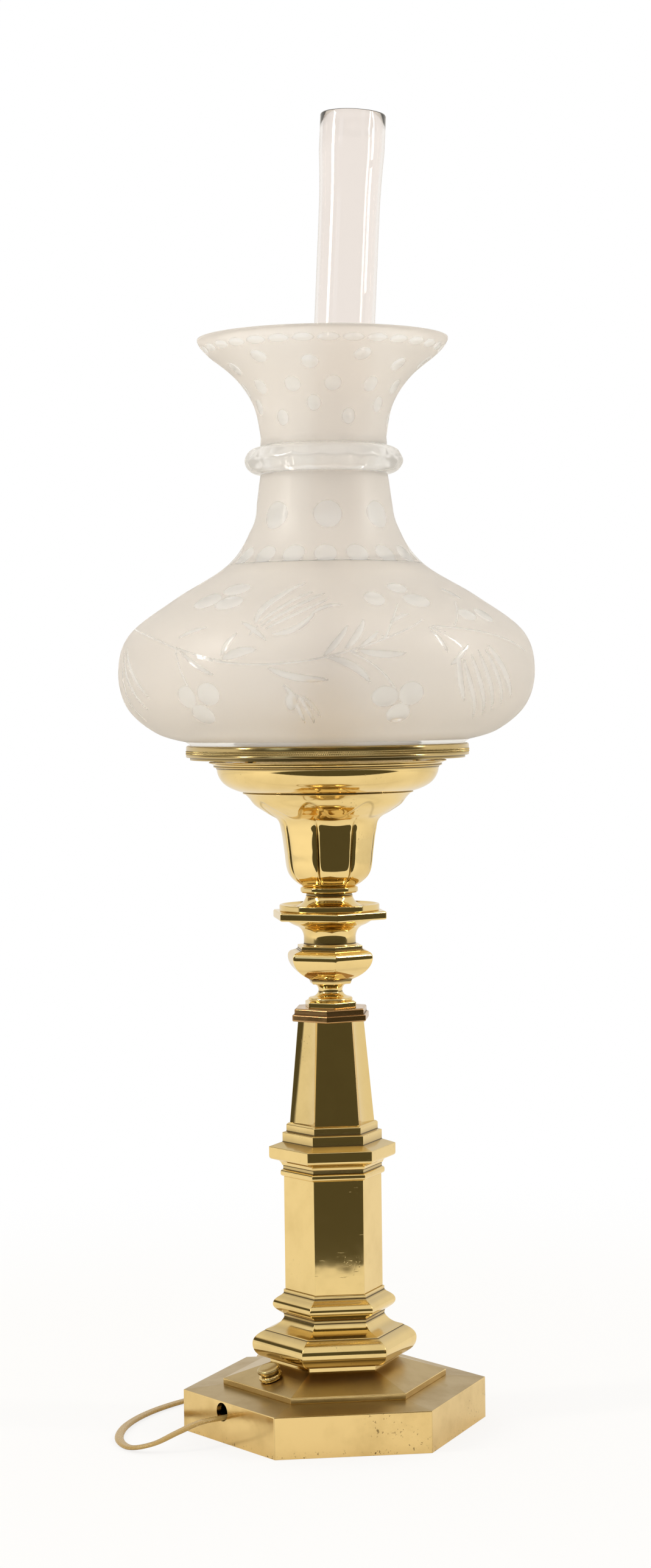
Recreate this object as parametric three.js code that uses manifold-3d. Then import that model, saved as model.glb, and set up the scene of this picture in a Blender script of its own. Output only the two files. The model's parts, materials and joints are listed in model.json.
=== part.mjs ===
// A brass solar lamp: hexagonal base and column, turned stem, lobed font, ring burner, cut glass shade
// and chimney, rewired with a small socket inside, a switch on the base and a flat cord.
// Millimetres, +Z up, the front face of the base looks along -Y, the floor is z = 0.

import * as THREE from "three";
import { mergeVertices } from "three/addons/utils/BufferGeometryUtils.js";
import Module from "manifold-3d";

const wasm = await Module();
wasm.setup();

// Clearances shared by all pieces
const gap = 0.3;
const runningGap = 0.6;
const overrun = 2;

// Heights of the pieces that stand on one another, from the floor up
const heights = {
  plinth: 26.4,
  step: 12.1,
  pedestal: 43.2,
  column: 67.3,
  capital: 31.6,
  taper: 60.7,
  cap: 7.6,
  foot: 4,
  neck: 9.9,
  knop: 22.8,
  cavetto: 15.6,
  plate: 4.9,
  saucer: 8.3,
  collar: 6.1,
  cup: 55,
  bowl: 19.4,
  cover: 3.1,
  burner: 6,
};

// Base and column, radii to the corners of the hexagon
const plinth = { radius: 90.5, slopeDrop: 2.2, wall: 3.2, flange: 4.8 };
const step = { radius: 66.8, edge: 3.6, wall: 2.5, web: 3 };
const pedestal = { radius: 49.3, seat: 2.4 };
const column = { radius: 29.2, wall: 2.4 };
const capital = { radius: 37.9, bore: 17 };
const taper = { footRadius: 25.7, topRadius: 19.8, flute: 2.2, arris: 1.1, wall: 4.5, fluteSteps: 6 };
const cap = { radius: 25.05, turnDegrees: 17.7 };

// Turned stem
const stemTurnDegrees = 30;
const foot = { radius: 16.3 };
const neck = { radius: 13.3 };
const knop = { radius: 27.3 };
const cavetto = { radius: 26.2 };
const plate = { radius: 36.3 };
const saucer = { radius: 29.6 };
const collar = { radius: 17 };

// Font
const cup = { inset: 0.5, wall: 1.6, groove: 2.6, lobes: 8, lobeTurnDegrees: 1, lobeSteps: 6 };
const bowl = { radius: 70.3, wall: 1.6 };
const cover = { overlap: 1, shoulderInset: 10.5, wall: 1.2, land: 1 };

// Burner, gallery and the ring that carries the shade
const burner = { rim: 1.8 };
const gallery = { floor: 1, wall: 0.8, play: 1.5, height: 14, slot: 4, slotDepth: 9, slotPairs: 4 };
const spider = { hubWall: 4.7, hubHeight: 3.9, armLift: 0.6, armWidth: 8, armThickness: 2, arms: 3 };
const ring = {
  flangeOverhang: 3,
  flangeHeight: 2.4,
  flangeRise: 0.4,
  flangeBevel: 0.6,
  bandStep: 1,
  bandHeight: 2.6,
  bandWall: 1.5,
  skirt: 81.3,
  skirtDrop: 4.6,
  skirtWall: 1.5,
  shelf: 2.4,
  shelfReach: 5.3,
};

// Glass
const shade = { radius: 123.3, height: 238.7, wall: 3, bead: 9.3, fitterPlay: 1.2 };
const chimney = {
  radius: 17.9,
  height: 368.5,
  wall: 1.8,
  flare: 1.4,
  flareHeight: 38,
  rimHeight: 22,
  leanDegrees: 3.05,
};
const chimneyLeanTowardDegrees = -7.33;

// Rod that clamps the stack, and the bar under the plinth that it pulls on
const rod = { radius: 4.8, bore: 3.3, foot: 11, aboveNut: 2.2 };
const bar = { short: 1, width: 16, thickness: 3 };
const washer = { radius: 9, thickness: 1.6 };
const rodNut = { radius: 8, height: 5.1 };
const lockNut = { radius: 7.4, height: 3.5 };

// Candle socket and bulb inside the chimney
const socketCap = { play: 4.1, web: 2.5, height: 6, wall: 1 };
const socketShell = { height: 23.5 };
const insulator = { bore: 6.7, floor: 7, short: 2, throat: 2.4 };
const bulb = { capPlay: 0.4, capAbove: 2, glassInset: 1.6, height: 48, wall: 0.8 };
const riser = { radius: 2.6, belowRod: 1 };

// Switch on the left slope of the base
const toggle = {
  faceDegrees: -60,
  slopeShare: 0.553,
  bodyRadius: 8,
  bodyDepth: 18,
  stemRadius: 4,
  nutRadius: 6.75,
  nutHeight: 3.3,
  waist: 5.25,
  knobHeight: 4,
  knobWeb: 1.4,
  shaftRadius: 1.9,
  shaftDepth: 6,
};

// Hole for the cord, in the left side of the plinth
const cordHole = { radius: 5.4, height: 18, along: -6.1 };
const grip = { radius: 4.6, length: 6.5 };

// Flat cord, its coil, the band round the coil and the plug
const cord = { width: 5.2, thickness: 2.6, stepLength: 10 };
const coil = { x: 2, y: 127, radius: 35, ringPitch: 6.2, layerPitch: 3.1, turnsPerLayer: 2, layers: 4 };
const coilStepsPerTurn = 24;
const tie = { width: 6, thickness: 0.6 };
const plug = { length: 24, width: 25, height: 11.5, nose: 5, bladeLength: 17, bladeWidth: 6.4 };
const blade = { thickness: 1.5, spacing: 12.7 };

// Chosen by hand: the cord's way from the grip inside, round the left of the base, to the coil
const cordRoute = [
  [-52.9, -23.5, 14.6],
  [-59, -27, 14.6],
  [-70.9, -33.9, 14.6],
  [-84.6, -41.8, 14.4],
  [-98, -48.9, 11],
  [-112, -50.5, 5.5],
  [-125, -42, 1.8],
  [-130, -20, 1.6],
  [-124, 10, 1.6],
  [-108, 40, 1.6],
  [-84, 66, 1.6],
  [-56, 83, 1.6],
  [-32, 90.6, 1.8],
  [-12, 92, 2.3],
  [-3.5, 92, 2.3],
];

// Chosen by hand: the end of the cord from the top of the coil down to the plug
const tailRoute = [
  [7.5, 92, 11.6],
  [13.5, 91.9, 11.6],
  [21, 91.4, 11.3],
  [28, 90.8, 8.6],
  [35, 90.5, 5.9],
  [41.7, 90.5, 5.75],
];

// Outlines as shares of a piece's radius and height. Two shares end a straight run, and four give the
// control point and the end of a curve.
const pedestalShares = [
  [0.785, 0],
  [0.785, 0.067],
  [0.763, 0.067],
  [0.763, 0.081],
  [0.905, 0.088],
  [1, 0.15, 1, 0.266],
  [1, 0.373, 0.846, 0.444],
  [0.832, 0.458],
  [0.669, 0.493, 0.609, 0.62],
  [0.617, 0.664],
  [0.659, 0.697, 0.748, 0.736, 0.748, 0.799],
  [0.748, 0.863, 0.69, 0.891, 0.639, 0.924],
  [0.613, 0.949],
  [0.613, 1],
];
const capitalShares = [
  [0.776, 0],
  [0.828, 0.006, 0.823, 0.063],
  [0.828, 0.12, 0.781, 0.133],
  [0.781, 0.203],
  [0.797, 0.209],
  [0.818, 0.304, 0.908, 0.31],
  [0.95, 0.326],
  [1, 0.335, 1, 0.392],
  [1, 0.563],
  [0.786, 0.646],
  [0.786, 0.823],
  [0.723, 0.842],
  [0.723, 0.968],
  [0.691, 1],
];
const capShares = [
  [0.974, 0],
  [1, 0.066],
  [1, 0.487],
  [0.942, 0.553],
  [0.942, 0.908],
  [0.914, 1],
];
const footShares = [
  [1, 0],
  [1, 0.775],
  [0.877, 1],
];
const neckShares = [
  [0.962, 0],
  [1.015, 0.101, 0.932, 0.182],
  [0.617, 0.222, 0.534, 0.545],
  [0.504, 0.778, 0.707, 1],
];
const knopShares = [
  [0.473, 0],
  [0.502, 0.096],
  [0.52, 0.123],
  [0.824, 0.263, 0.945, 0.482],
  [1, 0.588, 1, 0.684],
  [1.004, 0.816, 0.894, 0.851],
  [0.791, 0.886],
  [0.762, 0.912],
  [0.762, 1],
];
const cavettoShares = [
  [0.611, 0],
  [0.588, 0.077],
  [0.588, 0.346],
  [0.611, 0.673, 0.782, 0.763],
  [0.916, 0.853, 1, 1],
];
const plateShares = [
  [0.981, 0],
  [1, 0.122],
  [1, 0.837],
  [0.981, 1],
];
const saucerShares = [
  [0.986, 0],
  [1, 0.06],
  [1, 0.41],
  [0.983, 0.47],
  [0.953, 0.47],
  [0.861, 0.181, 0.726, 0.265],
  [0.591, 0.349, 0.493, 0.627, 0.47, 1],
];
const collarShares = [
  [0.8, 0],
  [0.829, 0.066],
  [0.8, 0.131],
  [0.8, 0.328],
  [0.965, 0.393],
  [1, 0.525],
  [1, 0.852],
  [0.976, 0.934],
  [0.918, 1],
];
const bowlShares = [
  [0.706, 0],
  [0.72, 0.021],
  [0.714, 0.052],
  [0.861, 0.186, 0.905, 0.454],
  [0.93, 0.598, 0.933, 0.742],
  [0.939, 0.804],
  [0.963, 0.835],
  [0.959, 0.866],
  [0.962, 0.923, 0.999, 0.959],
  [1, 0.979],
  [0.99, 1],
];

// The cup's radius, height and depth of groove, each as a share
const cupShares = [
  [0.314, 0, 0],
  [0.399, 0.047, 0.3],
  [0.477, 0.116, 0.8],
  [0.517, 0.209, 1],
  [0.542, 0.391, 1],
  [0.574, 0.591, 1],
  [0.623, 0.716, 0.9],
  [0.745, 0.796, 0.6],
  [0.876, 0.875, 0.3],
  [0.949, 0.953, 0.1],
  [1, 1, 0],
];
const cupFloor = 2;

// The shade's bowl and flare, on a smooth curve through each list, and the bead between them
const fitterTopShare = 0.01;
const shadeBowlShares = [
  [0.818, 0.036],
  [0.958, 0.099],
  [1, 0.189],
  [0.942, 0.28],
  [0.72, 0.366],
  [0.47, 0.447],
  [0.352, 0.539],
  [0.309, 0.656],
];
const shadeFlareShares = [
  [0.301, 0.759],
  [0.334, 0.838],
  [0.421, 0.906],
  [0.556, 0.964],
  [0.597, 0.99],
  [0.601, 1],
];
const beadFootShare = 0.669;
const beadTopShare = 0.735;

const knobShares = [
  [1, 0],
  [0.97, 0.17],
  [1.17, 0.3],
  [1.285, 0.4],
  [1.285, 0.8],
  [1.18, 0.95],
];
const nutShares = [
  [0.92, 0],
  [1.04, 0.22, 1.02, 0.55],
  [1.02, 0.9, 0.82, 1],
];
const bulbShares = [
  [0.57, 0],
  [0.62, 0.12, 0.95, 0.2, 1, 0.36],
  [1.02, 0.55, 0.5, 0.75, 0.2, 0.96],
  [0.1, 1, 0, 1],
];
const sectionShares = [
  [1, 0],
  [0.55, 1],
  [-0.55, 1],
  [-1, 0],
  [-0.55, -1],
  [0.55, -1],
];

// Levels: the height at which each stacked piece stands
const level = {};
let stacked = 0;
for (const [name, height] of Object.entries(heights)) {
  level[name] = stacked;
  stacked += height;
}
level.gallery = stacked;
const hexFacing = Math.PI / 6;
const hexFlat = Math.cos(hexFacing);
const rodClearance = rod.radius + runningGap;
const hexBore = rodClearance / hexFlat;
const galleryInner = chimney.radius + gallery.play;
const galleryOuter = galleryInner + gallery.wall;
const burnerRadius = galleryOuter + burner.rim;
const hubBore = burnerRadius + gap;
const hubRadius = hubBore + spider.hubWall;
const radians = THREE.MathUtils.degToRad;

const brass = { color: 0xd8b25c, roughness: 0.14, metalness: 1 };
const darkBrass = { color: 0xa97f48, roughness: 0.22, metalness: 1 };
const steel = { color: 0xb9bcc0, roughness: 0.35, metalness: 1 };
const frostedGlass = { color: 0xeadfd3, roughness: 0.6, metalness: 0, transparent: true, opacity: 0.85 };
const clearGlass = { color: 0xf4f6f6, roughness: 0.03, metalness: 0, transparent: true, opacity: 0.35 };
const goldVinyl = { color: 0xc9a45a, roughness: 0.35, metalness: 0 };
const darkPlastic = { color: 0x2c2622, roughness: 0.5, metalness: 0 };

// Makes an indexed geometry one closed skin that faces outwards.
function closed(geometry) {
  geometry.deleteAttribute("normal");
  geometry.deleteAttribute("uv");
  const skin = mergeVertices(geometry, 1e-4);
  const corners = [new THREE.Vector3(), new THREE.Vector3(), new THREE.Vector3()];
  const { index } = skin;
  const places = skin.attributes.position;
  const kept = [];
  let volume = 0;
  for (let i = 0; i < index.count; i += 3) {
    const ids = [index.getX(i), index.getX(i + 1), index.getX(i + 2)];
    if (new Set(ids).size < 3) continue;
    ids.forEach((id, k) => corners[k].fromBufferAttribute(places, id));
    volume += corners[0].dot(corners[1].clone().cross(corners[2]));
    kept.push(ids);
  }
  if (volume < 0) kept.forEach((ids) => ids.reverse());
  skin.setIndex(kept.flat());
  return skin;
}

function toManifold(geometry) {
  return new wasm.Manifold(
    new wasm.Mesh({
      numProp: 3,
      vertProperties: new Float32Array(geometry.attributes.position.array),
      triVerts: new Uint32Array(geometry.index.array),
    }),
  );
}

function fromManifold(solid) {
  const { vertProperties, triVerts } = solid.getMesh();
  const geometry = new THREE.BufferGeometry();
  geometry.setAttribute("position", new THREE.BufferAttribute(vertProperties, 3));
  geometry.setIndex(new THREE.BufferAttribute(triVerts, 1));
  return geometry;
}

// Cuts each of the tools out of a geometry.
function cut(geometry, ...tools) {
  let solid = toManifold(geometry);
  for (const tool of tools) solid = solid.subtract(toManifold(tool));
  return fromManifold(solid);
}

function join(geometry, ...others) {
  let solid = toManifold(geometry);
  for (const other of others) solid = solid.add(toManifold(other));
  return fromManifold(solid);
}

// The points of an outline given in shares, standing at a level.
function moulding(shares, radius, height, base, curveSteps = 4) {
  const sizedShare = (share, i) => (i % 2 ? base + share * height : share * radius);
  const sized = shares.map((run) => run.map(sizedShare));
  const path = new THREE.Path();
  path.moveTo(...sized[0]);
  for (const run of sized.slice(1)) {
    if (run.length === 2) path.lineTo(...run);
    if (run.length === 4) path.quadraticCurveTo(...run);
    if (run.length === 6) path.bezierCurveTo(...run);
  }
  return path.getPoints(curveSteps);
}

// Turns an outline about +Z, with six sides for a mitred hexagon or many for a round piece.
function turned(outline, sides, firstCorner = 0) {
  const points = outline.map((point) => new THREE.Vector2(point.x, point.y));
  if (points[0].x > 0) points.push(points[0].clone());
  const geometry = new THREE.LatheGeometry(points, sides, firstCorner);
  geometry.rotateX(Math.PI / 2);
  return closed(geometry);
}

const corner = (radius, height) => new THREE.Vector2(radius, height);

// A moulded piece with a straight bore through it.
function bored(outline, bore, sides, firstCorner) {
  const bottom = outline[0].y;
  const top = outline.at(-1).y;
  return turned([...outline, corner(bore, top), corner(bore, bottom)], sides, firstCorner);
}

function tube(outer, inner, bottom, top, sides, firstCorner) {
  return bored([corner(outer, bottom), corner(outer, top)], inner, sides, firstCorner);
}

function rodOf(radius, bottom, top, sides) {
  return turned([corner(0, bottom), corner(radius, bottom), corner(radius, top), corner(0, top)], sides);
}

// Moves an outline that climbs the outside of a wall to the inside of that wall.
function inset(points, wall) {
  return points.map((point, i) => {
    const before = points[Math.max(i - 1, 0)];
    const after = points[Math.min(i + 1, points.length - 1)];
    const run = after.clone().sub(before).normalize();
    return corner(point.x - run.y * wall, point.y + run.x * wall);
  });
}

// Joins rings that hold the same number of points, and closes the last onto the first or caps both.
function skin(rings, isLoop) {
  const count = rings[0].length;
  const places = rings.flat().flatMap((point) => point.toArray());
  const triangles = [];
  const last = isLoop ? rings.length : rings.length - 1;
  for (let r = 0; r < last; r += 1) {
    const low = r * count;
    const high = ((r + 1) % rings.length) * count;
    for (let i = 0; i < count; i += 1) {
      const next = (i + 1) % count;
      triangles.push(low + i, low + next, high + i, low + next, high + next, high + i);
    }
  }
  if (!isLoop) {
    const end = (rings.length - 1) * count;
    for (let i = 1; i < count - 1; i += 1) {
      triangles.push(0, i + 1, i, end, end + i, end + i + 1);
    }
  }
  const geometry = new THREE.BufferGeometry();
  geometry.setAttribute("position", new THREE.Float32BufferAttribute(places, 3));
  geometry.setIndex(triangles);
  return closed(geometry);
}

const part = new THREE.Group();

function add(name, geometry, finish, parent = part) {
  const shown = geometry.toNonIndexed();
  shown.computeVertexNormals();
  const mesh = new THREE.Mesh(shown, new THREE.MeshStandardMaterial(finish));
  mesh.name = name;
  parent.add(mesh);
  return mesh;
}

// Places something against a side of the hexagon: local +Z looks out of the face, and X runs along it.
function onFace(degrees, distance, height, tiltDegrees = 0) {
  const seat = new THREE.Group();
  const angle = radians(degrees);
  seat.position.set(Math.sin(angle) * distance, -Math.cos(angle) * distance, height);
  seat.rotation.order = "ZXY";
  seat.rotation.z = angle;
  seat.rotation.x = Math.PI / 2 - radians(tiltDegrees);
  seat.updateMatrixWorld(true);
  return seat;
}

// Base
const columnBore = column.radius - column.wall / hexFlat;
const stepTopRadius = pedestal.radius * pedestalShares[0][0];
const stepSlope = (heights.step - step.edge) / (step.radius - stepTopRadius);
const slopeDegrees = THREE.MathUtils.radToDeg(Math.atan(stepSlope / hexFlat));
const toggleRadius = THREE.MathUtils.lerp(stepTopRadius, step.radius, toggle.slopeShare);
const toggleApothem = toggleRadius * hexFlat;
const toggleHeight = level.pedestal - (toggleRadius - stepTopRadius) * stepSlope;
const toggleSeat = onFace(toggle.faceDegrees, toggleApothem, toggleHeight, 90 - slopeDegrees);
const cordSeat = onFace(toggle.faceDegrees, plinth.radius * hexFlat, cordHole.height);
const flangeInner = step.radius - plinth.flange;
const flangeUnder = level.step - plinth.wall;

function plinthShell() {
  const rimTop = level.step - plinth.slopeDrop;
  const inner = plinth.radius - plinth.wall / hexFlat;
  const slope = plinth.slopeDrop / (plinth.radius - step.radius);
  const shell = turned(
    [
      corner(plinth.radius, 0),
      corner(plinth.radius, rimTop),
      corner(step.radius, level.step),
      corner(flangeInner, level.step),
      corner(flangeInner, flangeUnder),
      corner(step.radius, flangeUnder),
      corner(inner, flangeUnder - (inner - step.radius) * slope),
      corner(inner, 0),
    ],
    6,
    hexFacing,
  );
  const drill = rodOf(cordHole.radius, -plinth.wall - overrun, overrun, 24);
  drill.translate(cordHole.along, 0, 0).applyMatrix4(cordSeat.matrixWorld);
  return cut(shell, drill);
}

function stepShell() {
  const inner = step.radius - step.wall / hexFlat;
  const drop = step.wall / Math.cos(radians(slopeDegrees));
  const slopeFoot = level.step + step.edge;
  const web = level.pedestal - step.web;
  const shell = turned(
    [
      corner(step.radius, level.step),
      corner(step.radius, slopeFoot),
      corner(stepTopRadius, level.pedestal),
      corner(hexBore, level.pedestal),
      corner(hexBore, web),
      corner(step.radius - (web + drop - slopeFoot) / stepSlope, web),
      corner(inner, slopeFoot + (step.radius - inner) * stepSlope - drop),
      corner(inner, level.step),
    ],
    6,
    hexFacing,
  );
  const reach = step.wall + step.web;
  const drill = rodOf(toggle.stemRadius + gap, -reach, overrun, 20);
  return cut(shell, drill.applyMatrix4(toggleSeat.matrixWorld));
}

function addBase() {
  add("plinth", plinthShell(), brass);
  add("base_step", stepShell(), brass);
  const outline = moulding(pedestalShares, pedestal.radius, heights.pedestal, level.pedestal);
  add("base_torus", bored(outline, columnBore - pedestal.seat, 6, hexFacing), brass);
}

// Column and tapered shaft
function taperRing(radius, height) {
  const ringPoints = [];
  const arrisHalf = taper.arris / 2;
  for (let side = 0; side < 6; side += 1) {
    const from = new THREE.Vector3(radius, 0, height);
    from.applyAxisAngle(new THREE.Vector3(0, 0, 1), (side * Math.PI) / 3);
    const to = new THREE.Vector3(radius, 0, height);
    to.applyAxisAngle(new THREE.Vector3(0, 0, 1), ((side + 1) * Math.PI) / 3);
    const along = to.clone().sub(from).normalize();
    const inward = new THREE.Vector3(-along.y, along.x, 0);
    from.addScaledVector(along, arrisHalf);
    to.addScaledVector(along, -arrisHalf);
    for (let i = 0; i <= taper.fluteSteps; i += 1) {
      const share = i / taper.fluteSteps;
      const depth = 4 * share * (1 - share) * taper.flute;
      ringPoints.push(from.clone().lerp(to, share).addScaledVector(inward, depth));
    }
  }
  return ringPoints;
}

function boreRing(outer, radius) {
  return outer.map((point) => {
    const angle = Math.atan2(point.y, point.x);
    return new THREE.Vector3(Math.cos(angle) * radius, Math.sin(angle) * radius, point.z);
  });
}

function addColumn() {
  add("column_shaft", tube(column.radius, columnBore, level.column, level.capital, 6, hexFacing), brass);
  const outline = moulding(capitalShares, capital.radius, heights.capital, level.capital, 3);
  add("column_capital", bored(outline, capital.bore, 6, hexFacing), brass);
  const low = taperRing(taper.footRadius, level.taper);
  const high = taperRing(taper.topRadius, level.cap);
  const lowBore = boreRing(low, taper.footRadius * hexFlat - taper.flute - taper.wall);
  const highBore = boreRing(high, taper.topRadius * hexFlat - taper.flute - taper.wall);
  add("tapered_shaft", skin([low, high, highBore, lowBore], true), brass);
  const capOutline = moulding(capShares, cap.radius, heights.cap, level.cap);
  const capFacing = hexFacing + radians(cap.turnDegrees);
  add("taper_cap", bored(capOutline, hexBore, 6, capFacing), darkBrass);
}

// Stem
function addStem() {
  const stemFacing = hexFacing + radians(stemTurnDegrees);
  const pieces = [
    ["stem_foot", footShares, foot.radius, "foot", 6],
    ["baluster_neck", neckShares, neck.radius, "neck", 20],
    ["baluster_knop", knopShares, knop.radius, "knop", 6],
    ["baluster_cavetto", cavettoShares, cavetto.radius, "cavetto", 22],
    ["font_plate", plateShares, plate.radius, "plate", 6],
    ["font_saucer", saucerShares, saucer.radius, "saucer", 26],
    ["font_collar", collarShares, collar.radius, "collar", 20],
  ];
  for (const [name, shares, radius, key, sides] of pieces) {
    const outline = moulding(shares, radius, heights[key], level[key], 3);
    add(name, bored(outline, sides === 6 ? hexBore : rodClearance, sides, stemFacing), brass);
  }
}

// Font
const cupRadius = bowl.radius * bowlShares[0][0] - cup.inset;
const bowlMouth = bowl.radius * bowlShares.at(-1)[0] - bowl.wall;

function cupRing([radiusShare, heightShare, grooveShare], wall) {
  const points = [];
  const height = level.cup + heightShare * heights.cup;
  for (let lobe = 0; lobe < cup.lobes; lobe += 1) {
    for (let i = 0; i < cup.lobeSteps; i += 1) {
      const across = (2 * i) / cup.lobeSteps - 1;
      const angle = ((lobe + across / 2) * 2 * Math.PI) / cup.lobes + radians(cup.lobeTurnDegrees);
      const depth = cup.groove * grooveShare * Math.abs(across) ** 3;
      const radius = radiusShare * cupRadius - depth - wall;
      points.push(new THREE.Vector3(Math.sin(angle) * radius, -Math.cos(angle) * radius, height));
    }
  }
  return points;
}

function lobedCup() {
  const outside = cupShares.map((shares) => cupRing(shares, 0));
  const walled = cupShares.filter((shares, i) => i >= cupFloor && i % 2 === 0);
  const inside = walled.map((shares) => cupRing(shares, cup.wall));
  const boreTop = boreRing(inside[0], rodClearance);
  const boreFoot = boreRing(outside[0], rodClearance);
  return skin([...outside, ...inside.reverse(), boreTop, boreFoot], true);
}

function fontBowl() {
  const outside = moulding(bowlShares, bowl.radius, heights.bowl, level.bowl, 2);
  const belly = moulding(bowlShares.slice(2, 6), bowl.radius, heights.bowl, level.bowl, 2);
  const inside = inset(belly, bowl.wall).reverse();
  const mouth = corner(bowlMouth, level.cover);
  const throat = corner(cupRadius - cup.wall, level.bowl);
  return turned([...outside, mouth, ...inside, throat], 36);
}

function fontCover() {
  const under = level.burner - cover.wall;
  const edge = bowlMouth + cover.overlap;
  const shoulder = edge - cover.shoulderInset;
  const plateau = hubRadius + cover.land;
  const outline = new THREE.Path();
  outline.moveTo(edge, level.cover);
  outline.quadraticCurveTo(shoulder, level.cover, shoulder, level.burner - gap);
  outline.lineTo(plateau, level.burner);
  outline.lineTo(rodClearance, level.burner);
  outline.lineTo(rodClearance, under);
  outline.lineTo(plateau, under);
  outline.lineTo(shoulder - cover.wall, under - gap);
  outline.lineTo(shoulder, level.cover);
  return turned(outline.getPoints(3), 32);
}

function addFont() {
  add("font_cup", lobedCup(), brass);
  add("font_bowl", fontBowl(), brass);
  add("font_cover", fontCover(), brass);
}

// Burner, gallery, spider and shade ring
const armTop = level.burner + spider.armLift + spider.armThickness;
const shelfTop = armTop + ring.shelf;
const ringSeat = ring.skirt - ring.skirtWall;
const bandRadius = ring.skirt + ring.bandStep;
const bandInner = bandRadius - ring.bandWall;

function galleryCup() {
  const top = level.gallery + gallery.height;
  const floorTop = level.gallery + gallery.floor;
  const shell = turned(
    [
      corner(burnerRadius, level.gallery),
      corner(burnerRadius, floorTop),
      corner(galleryOuter, floorTop),
      corner(galleryOuter, top),
      corner(galleryInner, top),
      corner(galleryInner, floorTop),
      corner(rodClearance, floorTop),
      corner(rodClearance, level.gallery),
    ],
    24,
  );
  const slots = [];
  const slotLength = 2 * (galleryOuter + overrun);
  for (let pair = 0; pair < gallery.slotPairs; pair += 1) {
    const slot = new THREE.BoxGeometry(slotLength, gallery.slot, gallery.slotDepth + overrun);
    slot.translate(0, 0, top + (overrun - gallery.slotDepth) / 2);
    slot.rotateZ(((pair + 0.5) * Math.PI) / gallery.slotPairs);
    slots.push(closed(slot));
  }
  return cut(shell, ...slots);
}

function ringSpider() {
  const hubTop = level.burner + spider.hubHeight;
  const hub = tube(hubRadius, hubBore, level.burner, hubTop, 32);
  const arms = [];
  const inner = (hubBore + hubRadius) / 2;
  const length = ringSeat - runningGap - inner;
  for (let i = 0; i < spider.arms; i += 1) {
    const arm = new THREE.BoxGeometry(spider.armWidth, length, spider.armThickness);
    arm.translate(0, inner + length / 2, armTop - spider.armThickness / 2);
    arm.rotateZ((i * 2 * Math.PI) / spider.arms);
    arms.push(closed(arm));
  }
  return join(hub, ...arms);
}

function shadeRing() {
  const skirtFoot = armTop - ring.skirtDrop;
  const flangeTop = armTop + ring.flangeRise;
  const flangeFoot = flangeTop - ring.flangeHeight;
  const bandTop = shelfTop + ring.bandHeight;
  const flangeRadius = ring.skirt + ring.flangeOverhang;
  return turned(
    [
      corner(ring.skirt, skirtFoot),
      corner(ring.skirt, flangeFoot - ring.flangeBevel),
      corner(flangeRadius, flangeFoot),
      corner(flangeRadius, flangeTop),
      corner(bandRadius, flangeTop + ring.flangeBevel),
      corner(bandRadius, bandTop),
      corner(bandInner, bandTop),
      corner(bandInner, shelfTop),
      corner(ringSeat - ring.shelfReach, shelfTop),
      corner(ringSeat - ring.shelfReach, armTop),
      corner(ringSeat, armTop),
      corner(ringSeat, skirtFoot),
    ],
    40,
  );
}

function addBurner() {
  add("burner_body", tube(burnerRadius, rodClearance, level.burner, level.gallery, 28), brass);
  add("gallery", galleryCup(), brass);
  add("ring_spider", ringSpider(), brass);
  add("shade_ring", shadeRing(), brass);
}

// Glass
const shadeFoot = shelfTop + gap;
const fitterRadius = bandInner - shade.fitterPlay;

function shadeKnots(shares) {
  return shares.map(([r, h]) => corner(r * shade.radius, shadeFoot + h * shade.height));
}

function shadeGlass() {
  const fitterTop = corner(fitterRadius, shadeFoot + fitterTopShare * shade.height);
  const low = new THREE.SplineCurve([fitterTop, ...shadeKnots(shadeBowlShares)]).getPoints(16);
  const high = new THREE.SplineCurve(shadeKnots(shadeFlareShares)).getPoints(7);
  const footPoint = corner(fitterRadius, shadeFoot);
  const beadFoot = shadeFoot + beadFootShare * shade.height;
  const beadTop = shadeFoot + beadTopShare * shade.height;
  const bead = new THREE.Path();
  bead.absellipse(
    (low.at(-1).x + high[0].x) / 2,
    (beadFoot + beadTop) / 2,
    shade.bead,
    (beadTop - beadFoot) / 2,
    -Math.PI / 2,
    Math.PI / 2,
    false,
    0,
  );
  const outside = [footPoint, ...low, ...bead.getPoints(3), ...high];
  const smooth = [footPoint, ...low.filter((point, i) => i % 2 === 0), ...high.filter((point, i) => i % 2)];
  return turned([...outside, ...inset(smooth, shade.wall).reverse()], 34);
}

function chimneyGlass(lift) {
  const top = lift + chimney.height;
  const rimFoot = top - chimney.rimHeight;
  const flareFoot = rimFoot - chimney.flareHeight;
  const flareMiddle = rimFoot - chimney.flareHeight / 2;
  const outline = new THREE.Path();
  outline.moveTo(chimney.radius, lift);
  outline.lineTo(chimney.radius, flareFoot);
  outline.quadraticCurveTo(chimney.radius, flareMiddle, chimney.radius + chimney.flare, rimFoot);
  outline.lineTo(chimney.radius + chimney.flare, top);
  const outside = outline.getPoints(3);
  return turned([...outside, ...inset(outside, chimney.wall).reverse()], 28);
}

function addGlass() {
  add("shade", shadeGlass(), frostedGlass);
  const lean = radians(chimney.leanDegrees);
  const toward = radians(chimneyLeanTowardDegrees);
  const seat = new THREE.Group();
  seat.position.z = level.gallery;
  seat.quaternion.setFromAxisAngle(new THREE.Vector3(-Math.sin(toward), Math.cos(toward), 0), lean);
  const lift = (gallery.floor + gap) / Math.cos(lean) + chimney.radius * Math.tan(lean);
  part.add(seat);
  add("chimney", chimneyGlass(lift), clearGlass, seat);
}

// Rod, bar and nuts
const galleryFloorTop = level.gallery + gallery.floor;
const lockNutTop = galleryFloorTop + lockNut.height;
const barFoot = flangeUnder - bar.thickness;
const washerFoot = barFoot - washer.thickness;

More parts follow.
